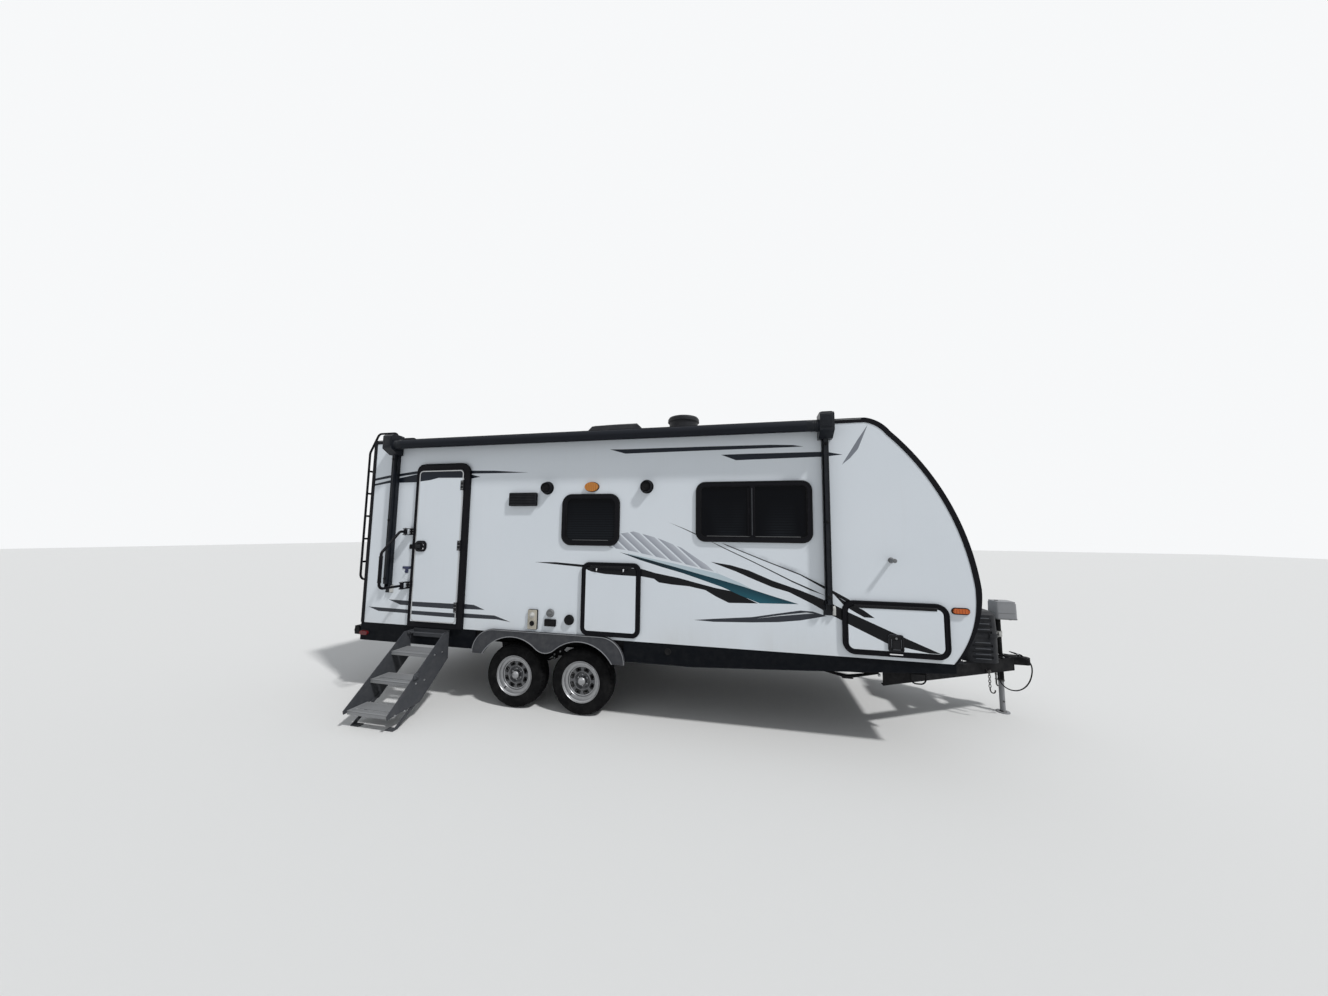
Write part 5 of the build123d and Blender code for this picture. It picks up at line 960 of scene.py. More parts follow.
finished([slats, border], "ventSlats", "unit", bevel=0.0006)
for i, (x, z) in enumerate(f["speakers"]):
    finished([knob("door", x, z, f[part], 40) for part in ("cone", "collar")], f"speakerCone_{i}", "rubber",
             bevel=0.0005)
finished(knob("door", *f["peg"], f["pegShape"]), "lidHoldback", "midGrey", bevel=0.0008)
print("wall fittings finished")

# Tow lead: the same route as the solid's, with a strain relief where it leaves its gland
towLead = {
    "route": [(4.7, -0.138, 0.443), (4.7, -0.138, 0.387), (4.722, -0.145, 0.33), (4.776, -0.152, 0.287),
              (4.85, -0.156, 0.28), (4.918, -0.158, 0.316), (4.966, -0.158, 0.38), (4.994, -0.155, 0.458),
              (5.004, -0.148, 0.526), (4.996, -0.134, 0.578), (4.96, -0.112, 0.61), (4.908, -0.089, 0.616),
              (4.85, -0.089, 0.616)],
    "radius": 0.006,
    "length": 0.765,
    "plug": [(-68, 0), (-68, 14), (-60, 15.5), (-44, 15.5), (-42, 17.5), (-36, 17.5), (-34, 15),
             (-12, 13.5), (-10, 10.5), (20, 7.8), (22, 0)],
    "fin": (0.016, 0.003, 0.004), "finX": -0.054, "finUp": 0.0155,
    "relief": [(0, 0), (0, 10.5), (-8, 10.5), (-34, 7.2), (-35, 0)],
    "cradle": [(-0.018, -0.016), (-0.018, -0.003), (-0.0155, -0.003), (-0.0145, -0.0135), (0.0145, -0.0135),
               (0.0155, -0.003), (0.018, -0.003), (0.018, -0.016)],
    "cradleX": -0.064, "cradleLong": 0.03,
}
t = towLead
start, end = spot(*t["route"][0]), spot(*t["route"][-1])
line = bpy.data.curves.new("towLead", "CURVE")
line.dimensions = "3D"
strand = line.splines.new("NURBS")
strand.points.add(len(t["route"]) - 1)
for point, place in zip(strand.points, t["route"]):
    point.co = (*spot(*place), 1)
strand.order_u = 3
strand.use_endpoint_u = True
line.bevel_depth, line.bevel_resolution, line.use_fill_caps = t["radius"], 4, True
line.materials.append(looks["rubber"])
cable = bpy.data.objects.new("towLead", line)
bpy.context.scene.collection.objects.link(cable)
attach(cable, "caravan")
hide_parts("tow_lead")
relief = finished(turned(t["relief"], start, "z", 20), "towRelief", "rubber")
plug = turned(t["plug"], end, "x", 28)
fins = repeated(block(end + Vector((t["finX"], 0, t["finUp"])), t["fin"]), [(0, 0, -2 * t["finUp"])])
plug = finished([plug, fins], "towPlug", "rubber", bevel=0.0004)
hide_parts("tow_plug")
cradle = plate([end + Vector((t["cradleX"], side, up)) for side, up in t["cradle"]],
               Vector((t["cradleLong"], 0, 0)))
finished(cradle, "plugCradle", "trim", bevel=0.0006)
print("tow lead hung")


# Places in a row along x, a pitch apart
def row(start, pitch, count, z):
    return [(start + pitch * i, z) for i in range(count)]


# Fenders: beads along the arches and the crown, in a lighter grey as a painted highlight; rivets
fender = {
    "wheelX": 0.3865, "wheelZ": 0.338, "arch": 0.425, "end": 32.3, "tangent": 49.65,
    "saddleZ": 0.793, "saddle": 0.172,
    "crown": 0.255, "halfLong": 0.876, "top": 0.829, "low": 0.565,
    "out": 0.03, "bead": 0.0048, "crownBead": 0.00384, "inset": 0.006,
    "rivets": (-0.56, 0.16, 8, 0.806), "rivet": 1.3,
}
f = fender
for way in ways:
    y = ways[way] * (wallHalf + f["out"])
    turn, end = f["tangent"], f["end"]
    rear = arc(spot(-f["wheelX"], y, f["wheelZ"]), f["arch"], 180 - end, turn, 18)
    dip = arc(spot(0, y, f["saddleZ"]), f["saddle"], 180 + turn, 360 - turn, 10)
    front = arc(spot(f["wheelX"], y, f["wheelZ"]), f["arch"], 180 - turn, end, 18)
    lower = tube(rear + dip[1:-1] + front, f["bead"])
    side, top, radius = f["halfLong"] - f["crown"], f["top"] - f["crown"], f["crown"] - f["inset"]
    foot = f["halfLong"] - f["inset"]
    crown = arc(spot(-side, y, top), radius, 180, 90) + arc(spot(side, y, top), radius, 90, 0)
    upper = tube([spot(-foot, y, f["low"])] + crown + [spot(foot, y, f["low"])], f["crownBead"])
    # Painted highlight: the beads take a lighter grey
    finished([lower, upper], f"fenderBead_{way}", "worn", smooth=60)
    finished(screws(way, row(*f["rivets"]), f["out"], f["rivet"]), f"fenderRivets_{way}", "fender")

# Skirts: rolled lower edge and a row of screws; on the door side none beside the steps
skirt = {
    "edges": [[(-2.414, 0.6), (-0.87, 0.6)], [(0.87, 0.6), (1.576, 0.6), (2.55, 0.65), (3.829, 0.725)]],
    "roll": 0.0045,
    "rear": (-2.33, 0.305, 5, 0.782), "front": (1.0, 0.305, 10, 0.782),
    "stepsFrom": -1.75,
}
for way in ways:
    rolls = [tube([onWall(way, x, z, -0.002) for x, z in edge], skirt["roll"]) for edge in skirt["edges"]]
    finished(rolls, f"skirtRoll_{way}", "skirt", smooth=60)
    places = [(x, z) for x, z in row(*skirt["rear"]) if way == "road" or x < skirt["stepsFrom"]]
    finished(screws(way, places + row(*skirt["front"]), 0.0), f"skirtScrews_{way}", "trim")

# Edge trim: screw heads along top and rear, vinyl strip in its groove; the awning's rail is over the top one
trim = {
    "out": 0.004, "screw": 0.9,
    "along": (-2.25, 0.28, 20, 2.967), "railTo": 2.9,
    "rear": -2.394, "upright": (0.86, 0.28, 8),
    "strip": (-2.36, 3.15, 2.9825, 0.008),
}
for way in ways:
    along = [(x, z) for x, z in row(*trim["along"]) if way == "road" or x > trim["railTo"]]
    upright = [(trim["rear"], z) for z, x in row(*trim["upright"], trim["rear"])]
    finished(screws(way, along + upright, trim["out"], trim["screw"]), f"trimScrews_{way}", "rubber")
    x0, x1, z, tall = trim["strip"]
    vinyl = block(onWall(way, (x0 + x1) / 2, z, trim["out"] + 0.0005), (x1 - x0, 0.003, tall))
    finished(vinyl, f"trimStrip_{way}", "midGrey", bevel=0.0012)

# Lamps: bezels on the walls and on the rear
lamps = {
    "walls": [(3.886, 1.249, 0.142, 0.058), (-2.352, 0.68, 0.136, 0.066)],
    "porch": (0.472, 2.376, 76, 0.66),
    "porchRing": [(0, -2), (0, 8), (5, 7), (8, 1), (8, -2)],
    "tail": (1.01, 0.98, 0.164, 0.224), "bars": (-0.045, 0.035),
    "reverse": (0.905, 0.118, 0.052),
    "upper": (2.895, 0.112, 0.046), "upperSpots": (-1.07, -0.23, 0.0, 0.23, 1.07),
    "rearX": -2.416,
}
for i, (x, z, long, tall, way) in enumerate((*lamp, way) for lamp in lamps["walls"] for way in ways):
    bezel = pad(onWall(way, x, z), long, tall, tall / 2 - 0.001, 0.007, way, 0.0085)
    finished(bezel, f"lampBezel_{i}", "rubber", bevel=0.0014)
x, z, radius, share = lamps["porch"]
bezel = knob("door", x, z, [(out, radius + r) for out, r in lamps["porchRing"]], 48)
openEdit(bezel, "VERT")
bpy.ops.mesh.select_all(action="SELECT")
bpy.ops.transform.resize(value=(1, 1, share), center_override=onWall("door", x, z))
bpy.ops.object.mode_set(mode="OBJECT")
finished(bezel, "porchBezel", "rubber", bevel=0.001)


def rearPlace(y, z, out=0.0):
    return spot(lamps["rearX"] - out, y, z)


y, z, wide, tall = lamps["tail"]
low, long, high = lamps["reverse"]
for i, side in enumerate((-1, 1)):
    bezel = pad(rearPlace(side * y, z), wide, tall, 0.016, 0.014, "rear", 0.01)
    bars = [block(rearPlace(side * y, z + up, 0.0285), (0.004, wide - 0.02, 0.005)) for up in lamps["bars"]]
    finished([bezel] + bars, f"tailBezel_{i}", "rubber", bevel=0.0012)
    lens = pad(rearPlace(side * y, low, 0.0275), long, high, 0.008, 0.0035, "rear")
    finished(lens, f"reverseLens_{i}", "paleGrey", bevel=0.001)
z, long, tall = lamps["upper"]
bezels = [pad(rearPlace(y, z), long, tall, 0.012, 0.007, "rear", 0.007) for y in lamps["upperSpots"]]
finished(bezels, "upperBezels", "rubber", bevel=0.0012)
print("fenders, skirts, trim and lamps dressed")

# Awning: ribbed collars and seams on the roller, end caps, tracks and knobs on the arms, feet
awning = {
    "arms": (-2.046, 2.82), "headHalf": 0.063,
    "roller": (-1.332, 2.905), "radius": 0.052,
    "seams": (185, 215, 250, 300), "seam": 0.0022, "seamEnd": 0.12,
    "collar": [(18, 50), (20, 56), (30, 56), (32, 53), (36, 53), (38, 56), (48, 56), (50, 53), (54, 53),
               (56, 56), (66, 56), (69, 53.5), (110, 53), (114, 50)],
    "face": (2.935, 0.175, 0.104, 0.12), "top": (3.021, 0.085, 0.11, 0.14),
    "tracks": (1.275, 2.785), "trackSides": (-0.015, 0.015), "armFace": 0.076,
    "knobHeights": (1.33, 2.01, 2.74),
    "knob": [(74, 0), (74, 15), (80, 14.5), (81, 11), (90, 10), (91, 0)],
    "foot": [(1165, 0), (1165, 34), (1232, 34), (1248, 0)], "footX": 0.031, "footWide": 0.026,
}
a = awning
y, z = a["roller"]
lo, hi = a["arms"][0] + a["headHalf"], a["arms"][1] - a["headHalf"]
ends = spot(lo + a["seamEnd"], y, z), spot(hi - a["seamEnd"], y, z)
seams = [rod(*[around(place, a["radius"], turn, "x") for place in ends], a["seam"], 8)
         for turn in a["seams"]]
finished(seams, "awningSeams", "fabric", bevel=0.0005, smooth=60)
collars = [turned(a["collar"], spot(x, y, z), "x", 40, way) for x, way in ((lo, 1), (hi, -1))]
finished(collars, "awningCollars", "awning", bevel=0.0008)
caps, tracks, knobs, feet = [], [], [], []
for x in a["arms"]:
    z, out, wide, tall = a["face"]
    caps.append(pad(onWall("door", x, z, out), wide, tall, 0.018, 0.005))
    caps.append(pad(onWall("door", x, z, out + 0.004), wide - 0.03, tall - 0.03, 0.012, 0.003, band=0.004))
    z, out, wide, tall = a["top"]
    caps.append(pad(onWall("door", x, z, out), wide, tall, 0.02, 0.007, "up"))
    low, high = a["tracks"]
    tracks += [block(onWall("door", x + side, (low + high) / 2, a["armFace"]), (0.004, 0.004, high - low))
               for side in a["trackSides"]]
    knobs += [knob("door", x, z, a["knob"], 16) for z in a["knobHeights"]]
    feet.append(strip("door", x + a["footX"], 0.0, a["footWide"], a["foot"]))
finished(caps, "awningCaps", "awning", bevel=0.0018)
finished(tracks, "awningTracks", "awning", bevel=0.0008)
finished(knobs, "awningKnobs", "rubber", bevel=0.0008)
finished(feet, "awningFeet", "paleGrey", bevel=0.002)

# Grab handle: collars at the ends of the grip, caps on the bracket pins, bolts through the brackets
handle = {
    "x": -1.785, "gripY": -1.598, "gripEnds": (1.33, 1.6),
    "pinY": -1.312, "pins": (1.258, 1.876), "gap": 0.039,
    "collar": [(-7, 14.5), (-7, 19.5), (7, 19.5), (7, 14.5)],
    "cap": [(0, 0), (0, 11), (4, 10.5), (7, 6.5), (7.5, 0)],
    "bolt": (0.018, 0.016, 0.006, 1.2),
}
h = handle
collars = [turned(h["collar"], spot(h["x"], h["gripY"], z), "z", 24) for z in h["gripEnds"]]
finished(collars, "gripCollars", "rubber", rides="grab_bar", bevel=0.0015)
caps = [turned(h["cap"], spot(h["x"], h["pinY"], z + way * h["gap"]), "z", 16, way)
        for z in h["pins"] for way in (-1, 1)]
finished(caps, "bracketPins", "zinc")
across, up, out, size = h["bolt"]
bolts = [(h["x"] + side * across, z + end * up) for z in h["pins"] for side in (-1, 1) for end in (-1, 1)]
finished(screws("door", bolts, out, size), "bracketBolts", "zinc")
print("awning and grab handle dressed")

# Steps: nosings, grip ribs, bolts through the stringers, latch
steps = {
    "x": (-1.68, -1.172), "plate": 0.008, "count": 3, "out": 0.27, "run": 0.223, "z": 0.59, "rise": 0.214,
    "noses": [(0.003, 0.0055), (0.202, 0.0048)], "noseLow": 0.003,
    "ribs": (0.018, 0.03, 0.042, 0.084, 0.102, 0.12, 0.138, 0.156, 0.174),
    "ribEnds": 0.05, "rib": (0.0045, 0.003), "ribUp": 0.0008,
    "bolt": [(0, 0), (0, 10), (1.5, 10), (1.8, 7.5), (6.5, 7), (7, 0)],
    "boltIn": (0.05, 0.155), "boltLow": 0.018,
    "latch": (-1.172, 0.455, 0.43), "latchWide": 0.02,
    "latchShape": [(-0.032, -0.022), (-0.032, 0.014), (-0.018, 0.03), (0.02, 0.03), (0.034, 0.01),
                   (0.034, -0.022)],
    "pin": (0.016, 0.032, 0.007),
}
s = steps
s0, s1 = s["x"][0] + s["plate"], s["x"][1] - s["plate"]
noses, ribs, bolts = [], [], []
for i in range(s["count"]):
    y = -wallHalf - s["out"] - i * s["run"]
    z = s["z"] - i * s["rise"]
    noses += [rod(spot(s0, y + inward, z - s["noseLow"]), spot(s1, y + inward, z - s["noseLow"]), radius, 12)
              for inward, radius in s["noses"]]
    ribs += [block(spot((s0 + s1) / 2, y + inward, z + s["ribUp"]), (s1 - s0 - s["ribEnds"], *s["rib"]))
             for inward in s["ribs"]]
    bolts += [turned(s["bolt"], spot(x, y + inward, z - s["boltLow"]), "x", 6, way)
              for x, way in zip(s["x"], (-1, 1)) for inward in s["boltIn"]]
finished(noses, "stepNosings", "tread", "steps", bevel=0.0008, smooth=60)
finished(ribs, "stepRibs", "tread", "steps", bevel=0.0008)
finished(bolts, "stepBolts", "zinc", "steps", bevel=0.0005)
x, out, z = s["latch"]
near, far, radius = s["pin"]
latch = plate([spot(x, -wallHalf - out + dy, z + dz) for dy, dz in s["latchShape"]],
              Vector((s["latchWide"], 0, 0)))
pin = rod(spot(x + near, -wallHalf - out, z), spot(x + far, -wallHalf - out, z), radius, 12)
finished([latch, pin], "stepLatch", "step", "steps", bevel=0.0025)

# Ladder: ribbed rubber on the rungs, bolts in the foot plates
ladder = {
    "x": -2.566, "ys": (-1.15, -0.87), "first": 1.5, "pitch": 0.282, "count": 5,
    "start": 28, "core": 10.5, "ribs": 16, "ribPitch": 14.2, "ribStart": 30,
    "rib": [(0, 12.3), (8.5, 12.3), (9.5, 11.4), (13.2, 11.4)],
    "feet": (-2.421, 1.29), "lands": (-2.16, 2.995),
    "boltRing": 0.021, "boltTurns": (90, 210, 330),
    "bolt": [(0, 0), (0, 4.8), (3, 3.6), (3.2, 0)],
}
d = ladder
profile = [(d["start"], d["core"])]
for i in range(d["ribs"]):
    profile += [(d["ribStart"] + i * d["ribPitch"] + along, radius) for along, radius in d["rib"]]
profile.append((profile[-1][0] + 2, d["core"]))
sleeve = turned(profile, spot(d["x"], d["ys"][0], d["first"]), "y", 20)
sleeves = repeated(sleeve, [(0, 0, d["pitch"] * i) for i in range(1, d["count"])])
finished(sleeves, "rungSleeves", "rubber", smooth=50)
bolts = []
for y in d["ys"]:
    for turn in d["boltTurns"]:
        x, z = d["feet"]
        bolts.append(turned(d["bolt"], around(spot(x, y, z), d["boltRing"], turn, "x"), "x", 8, -1))
        x, z = d["lands"]
        bolts.append(turned(d["bolt"], around(spot(x, y, z), d["boltRing"], turn, "z"), "z", 8))
finished(bolts, "ladderBolts", "zinc")
print("steps and ladder dressed")

# Roof: sealant round what passes through it, seam strips, lid frames, screws of the air conditioner
roof = {
    "top": 2.99,
    "vents": [(-1.18, 0.32), (2.32, -0.26)], "vent": 0.43, "ventTop": 0.077, "ventTopWide": 0.3,
    "hinge": (0.14, 0.03, 0.007),
    "pipes": [(-0.62, 0.78, 48), (0.62, 0.86, 48)],
    "unit": (0.425, 0.0, 0.878, 0.728),
    "dome": (1.393, -0.82, 160),
    "seams": (-1.95, -0.48, 1.86), "seam": (0.055, 2.29, 0.0026),
    "sealLow": -0.0005, "sealTall": 0.0045,
    "mound": [(-0.5, 0), (-0.5, 45), (4, 40), (9, 16), (10, 0)],
    "cap": [(48, 30), (48, 58), (54, 60), (74, 52), (80, 20), (81, 0), (69, 0), (69, 30)],
    "screw": [(14, 0), (14, 6.5), (17, 5.5), (17.5, 0)],
    "screwX": (-0.36, -0.12, 0.12, 0.36),
    "domeBand": [(150, 174.5), (153, 177.5), (158, 177.5), (161, 174.5)],
    "domeFoot": [(0, 158), (0, 182), (6, 182), (10, 174), (11, 158)],
}


def onRoof(x, y, up=0.0):
    return spot(x, y, roof["top"] + up)


r = roof
x, y, long, wide = r["unit"]
rings = [pad(onRoof(*place, r["sealLow"]), r["vent"] + 0.07, r["vent"] + 0.07, 0.03, r["sealTall"], "up",
             0.04)
         for place in r["vents"]]
rings.append(pad(onRoof(x, y, r["sealLow"]), long + 0.06, wide + 0.06, 0.03, r["sealTall"], "up", 0.034))
for x, y, radius, count in [(*pipe, 28) for pipe in r["pipes"]] + [(*r["dome"], 40)]:
    rings.append(turned([(up, radius + out) for up, out in r["mound"]], onRoof(x, y), "z", count))
finished(rings, "roofSealant", "sealant", bevel=0.001)
finished([block(onRoof(x, 0, 0.0008), r["seam"]) for x in r["seams"]], "roofSeams", "sealant",
         bevel=0.001)
frames = []
for x, y in r["vents"]:
    frames.append(pad(onRoof(x, y, 0.021), r["vent"] - 0.01, r["vent"] - 0.01, 0.034, 0.009, "up", 0.016))
    frames.append(pad(onRoof(x, y, r["ventTop"]), r["ventTopWide"], r["ventTopWide"], 0.03, 0.005, "up",
                      0.012))
    side, up, radius = r["hinge"]
    frames.append(rod(*[onRoof(x - r["vent"] / 2, y + way * side, up) for way in (-1, 1)], radius, 12))
finished(frames, "ventFrames", "unit", bevel=0.0015)
caps = [turned(r["cap"], onRoof(x, y), "z", 32) for x, y, radius in r["pipes"]]
finished(caps, "pipeCaps", "unit", bevel=0.001)
x, y, long, wide = r["unit"]
heads = [turned(r["screw"], onRoof(x + dx, side * (wide / 2 - 0.007)), "z", 8) for side in (-1, 1)
         for dx in r["screwX"]]
finished(heads, "unitScrews", "zinc")
bands = [turned(r[part], onRoof(*r["dome"][:2]), "z", 64) for part in ("domeBand", "domeFoot")]
finished(bands, "domeBands", "unit", bevel=0.0008)
print("roof dressed")

# Gas cover: clips on its belt, knob and wings on top, lips along its sides; strap over the battery box
gas = {
    "x": 4.47, "half": 0.34, "belt": 0.863, "top": 1.108,
    "clips": (-0.075, 0.075),
    "knob": [(0, 0), (0, 34), (6, 36), (16, 34), (19, 22), (24, 20), (25, 0)],
    "wing": (0.012, 0.062, 0.018), "wingUp": 0.032,
    "lips": (0.634, 0.68, 0.736, 0.798, 0.932, 0.99, 1.046), "lipLong": 0.14,
    "lip": [(-0.001, -0.007), (0.004, -0.003), (0.004, 0.001), (-0.001, 0.004)],
    "battery": 4.1735, "strapWide": 0.04,
    "strap": [(-0.186, 0.598), (-0.171, 0.793), (-0.164, 0.8295), (0.164, 0.8295), (0.171, 0.793),
              (0.186, 0.598), (0.19, 0.598), (0.175, 0.794), (0.167, 0.8325), (-0.167, 0.8325),
              (-0.175, 0.794), (-0.19, 0.598)],
    "buckle": (0.06, 0.832, 0.052, 0.04),
}
clips = []
for way, side in ways.items():
    for dx in gas["clips"]:
        x = gas["x"] + dx
        clips.append(pad(spot(x, side * gas["half"], gas["belt"]), 0.028, 0.06, 0.006, 0.008, way))
        clips.append(pad(spot(x, side * (gas["half"] + 0.007), gas["belt"] + 0.006), 0.018, 0.034, 0.004,
                         0.005, way))
clips.append(turned(gas["knob"], spot(gas["x"], 0, gas["top"]), "z", 24))
clips.append(block(spot(gas["x"], 0, gas["top"] + gas["wingUp"]), gas["wing"]))
finished(clips, "gasClips", "unit", bevel=0.0015)
lips = [plate([spot(gas["x"] - gas["lipLong"] / 2, side * (gas["half"] + out), z + up)
               for out, up in gas["lip"]], Vector((gas["lipLong"], 0, 0)))
        for side in (-1, 1) for z in gas["lips"]]
finished(lips, "gasLips", "slateGrey", bevel=0.001)
strap = plate([spot(gas["battery"] - gas["strapWide"] / 2, y, z) for y, z in gas["strap"]],
              Vector((gas["strapWide"], 0, 0)))
y, z, long, wide = gas["buckle"]
buckle = pad(spot(gas["battery"], y, z), long, wide, 0.005, 0.007, "up", 0.008)
finished([strap, buckle], "batteryStrap", "rubber", bevel=0.0008)

# Jack: seam and skirt of the head, switch panel, crank port, light collar on the tube, pin through the leg
jack = {
    "x": 4.79, "headX": 4.842, "long": 0.206, "wide": 0.17, "low": 1.0, "seam": 1.062, "top": 1.186,
    "panel": (1.105, 0.1, 0.06), "toggles": (-0.025, 0.025),
    "port": [(0, 0), (0, 20), (4, 19), (6, 12), (6.5, 0)],
    "light": [(0, 0), (0, 17), (-10, 16), (-12, 12), (-12.5, 0)], "lightAt": (0.045, -0.045),
    "collar": [(0, 28.5), (0, 35), (4, 36.5), (58, 36.5), (62, 35), (62, 28.5)], "collarZ": 0.8,
    "lug": (-0.004, -0.043, 0.831), "lugSize": (0.026, 0.018, 0.04),
    "pin": (0.04, 0.12, 0.0065),
    "weld": [(0, 24.5), (0, 36), (10, 26.5), (11, 24.5)], "weldZ": 0.008,
    "lower": [(0, 24.5), (0, 31.5), (16, 31.5), (17, 24.5)], "lowerZ": 0.328,
}
j = jack
seam = pad(spot(j["headX"], 0, j["seam"]), j["long"] - 0.004, j["wide"] + 0.003, 0.029, 0.005, "up", 0.012)
rim = pad(spot(j["headX"], 0, j["low"] - 0.004), j["long"] + 0.006, j["wide"] + 0.006, 0.031, 0.012, "up",
          0.014)
finished([seam, rim], "jackSeam", "midGrey", bevel=0.0012)
front = j["headX"] + j["long"] / 2
z, long, tall = j["panel"]
panel = pad(spot(front - 0.01, 0, z), long, tall, 0.01, 0.008, "front")
toggles = [rod(spot(front - 0.004, y, z), spot(front + 0.01, y, z + 0.003), 0.005, 10) for y in j["toggles"]]
port = turned(j["port"], spot(j["x"], 0, j["top"]), "z", 24)
dx, y = j["lightAt"]
light = turned(j["light"], spot(j["headX"] + dx, y, j["low"]), "z", 20)
finished([panel, port, light] + toggles, "jackControls", "rubber", bevel=0.0008)
collar = turned(j["collar"], spot(j["x"], 0, j["collarZ"]), "z", 32)
dx, y, z = j["lug"]
finished([collar, block(spot(j["x"] + dx, y, z), j["lugSize"])], "jackCollar", "paleGrey",
         bevel=0.0012)
side, z, radius = j["pin"]
pin = rod(spot(j["x"], -side, z), spot(j["x"], side, z), radius, 14)
rings = [turned(j[part], spot(j["x"], 0, j[part + "Z"]), "z", 28) for part in ("weld", "lower")]
finished([pin] + rings, "jackPin", "darkSteel", bevel=0.0006)

# Coupler: bolts of the jack flange and gusset, rim of the socket, latch pin and its ring
coupler = {
    "top": 0.6, "flangeTop": 0.61, "flangeRing": 0.044, "flangeTurns": (45, 135, 225, 315),
    "bolts": [(4.895, -0.03), (4.895, 0.03), (4.77, -0.108), (4.77, 0.108)],
    "bolt": [(0, 0), (0, 10.5), (7.2, 10.5), (8, 9), (8, 0)],
    "ball": (5.016, 0.52),
    "rim": [(0, 46), (0, 51.5), (12, 51.5), (14, 46)],
    "latchX": 4.948, "pin": (0.032, 0.628, 0.005), "ring": (-0.034, 0.612, 0.016, 0.0018),
}
c = coupler
bolts = [turned(c["bolt"], around(spot(jack["x"], 0, c["flangeTop"]), c["flangeRing"], turn, "z"), "z", 6)
         for turn in c["flangeTurns"]]
bolts += [turned(c["bolt"], spot(x, y, c["top"]), "z", 6) for x, y in c["bolts"]]
finished(bolts, "couplerBolts", "zinc", bevel=0.0006)
x, z = c["ball"]
rim = turned(c["rim"], spot(x, 0, z), "z", 40)
side, z, radius = c["pin"]
pin = rod(spot(c["latchX"], -side, z), spot(c["latchX"], side, z), radius, 12)
y, z, radius, wire = c["ring"]
ring = tube(arc(spot(c["latchX"], y, z), radius, 90, 450, 16), wire)
finished([rim, pin, ring], "couplerPin", "zinc", smooth=60)

# Safety chains: links hanging from an eye on each drawbar, with a hook at the end
chain = {
    "x": 4.545, "y": 0.262, "out": 0.012, "top": 0.486, "pitch": 0.0235,
    "links": 7, "wire": 0.0036, "link": 0.0105, "stretch": 0.006,
    "hook": [(0.0, 0.0), (0.0, -0.03), (0.012, -0.052), (0.034, -0.056), (0.046, -0.04), (0.046, -0.024)],
    "hookWire": 0.0062, "hookBend": 0.009,
    "eye": [(-0.016, -0.004, 0.506), (-0.016, 0.012, 0.486), (0.016, 0.012, 0.486), (0.016, -0.004, 0.506)],
    "eyeWire": 0.0055, "eyeBend": 0.006,
    "stowed": [(4.64, -0.205, 0.47), (4.64, -0.205, 0.35), (4.652, -0.205, 0.335)],
    "stowedWire": 0.0072, "stowedBend": 0.008, "collarZ": 0.4, "collarPitch": 0.05,
    "collar": [(0, 7), (0, 10.5), (8, 10.5), (9, 7)],
}
c = chain
for way, side in ways.items():
    links = []
    y = side * c["y"]
    for i in range(c["links"]):
        grab()
        bpy.ops.mesh.primitive_torus_add(location=(0, 0, 0), major_radius=c["link"], minor_radius=c["wire"],
                                         major_segments=14, minor_segments=7)
        link = bpy.context.object
        openEdit(link, "VERT")
        choose(link, "verts", lambda v: v.co.y > 0.0001)
        bpy.ops.transform.translate(value=(0, c["stretch"], 0))
        bpy.ops.object.mode_set(mode="OBJECT")
        link.rotation_euler = (math.pi / 2, 0, math.pi / 2 * (i % 2))
        link.location = spot(c["x"], y + side * c["out"], c["top"] - i * c["pitch"])
        links.append(link)
    low = c["top"] - c["links"] * c["pitch"] + c["out"]
    hook = tube([spot(c["x"] + dx, y + side * c["out"], low + dz) for dx, dz in c["hook"]], c["hookWire"],
                c["hookBend"])
    eye = tube([spot(c["x"] + dx, y + side * dy, z) for dx, dy, z in c["eye"]], c["eyeWire"], c["eyeBend"])
    finished(links + [hook, eye], f"safetyChain_{way}", "darkSteel", smooth=60)
stowed = tube([spot(*place) for place in c["stowed"]], c["stowedWire"], c["stowedBend"])
x, y, z = c["stowed"][0]
collars = repeated(turned(c["collar"], spot(x, y, c["collarZ"]), "z", 16), [(0, 0, c["collarPitch"])])
finished([stowed, collars], "stowedPin", "darkSteel", smooth=60)
print("drawbar dressed")

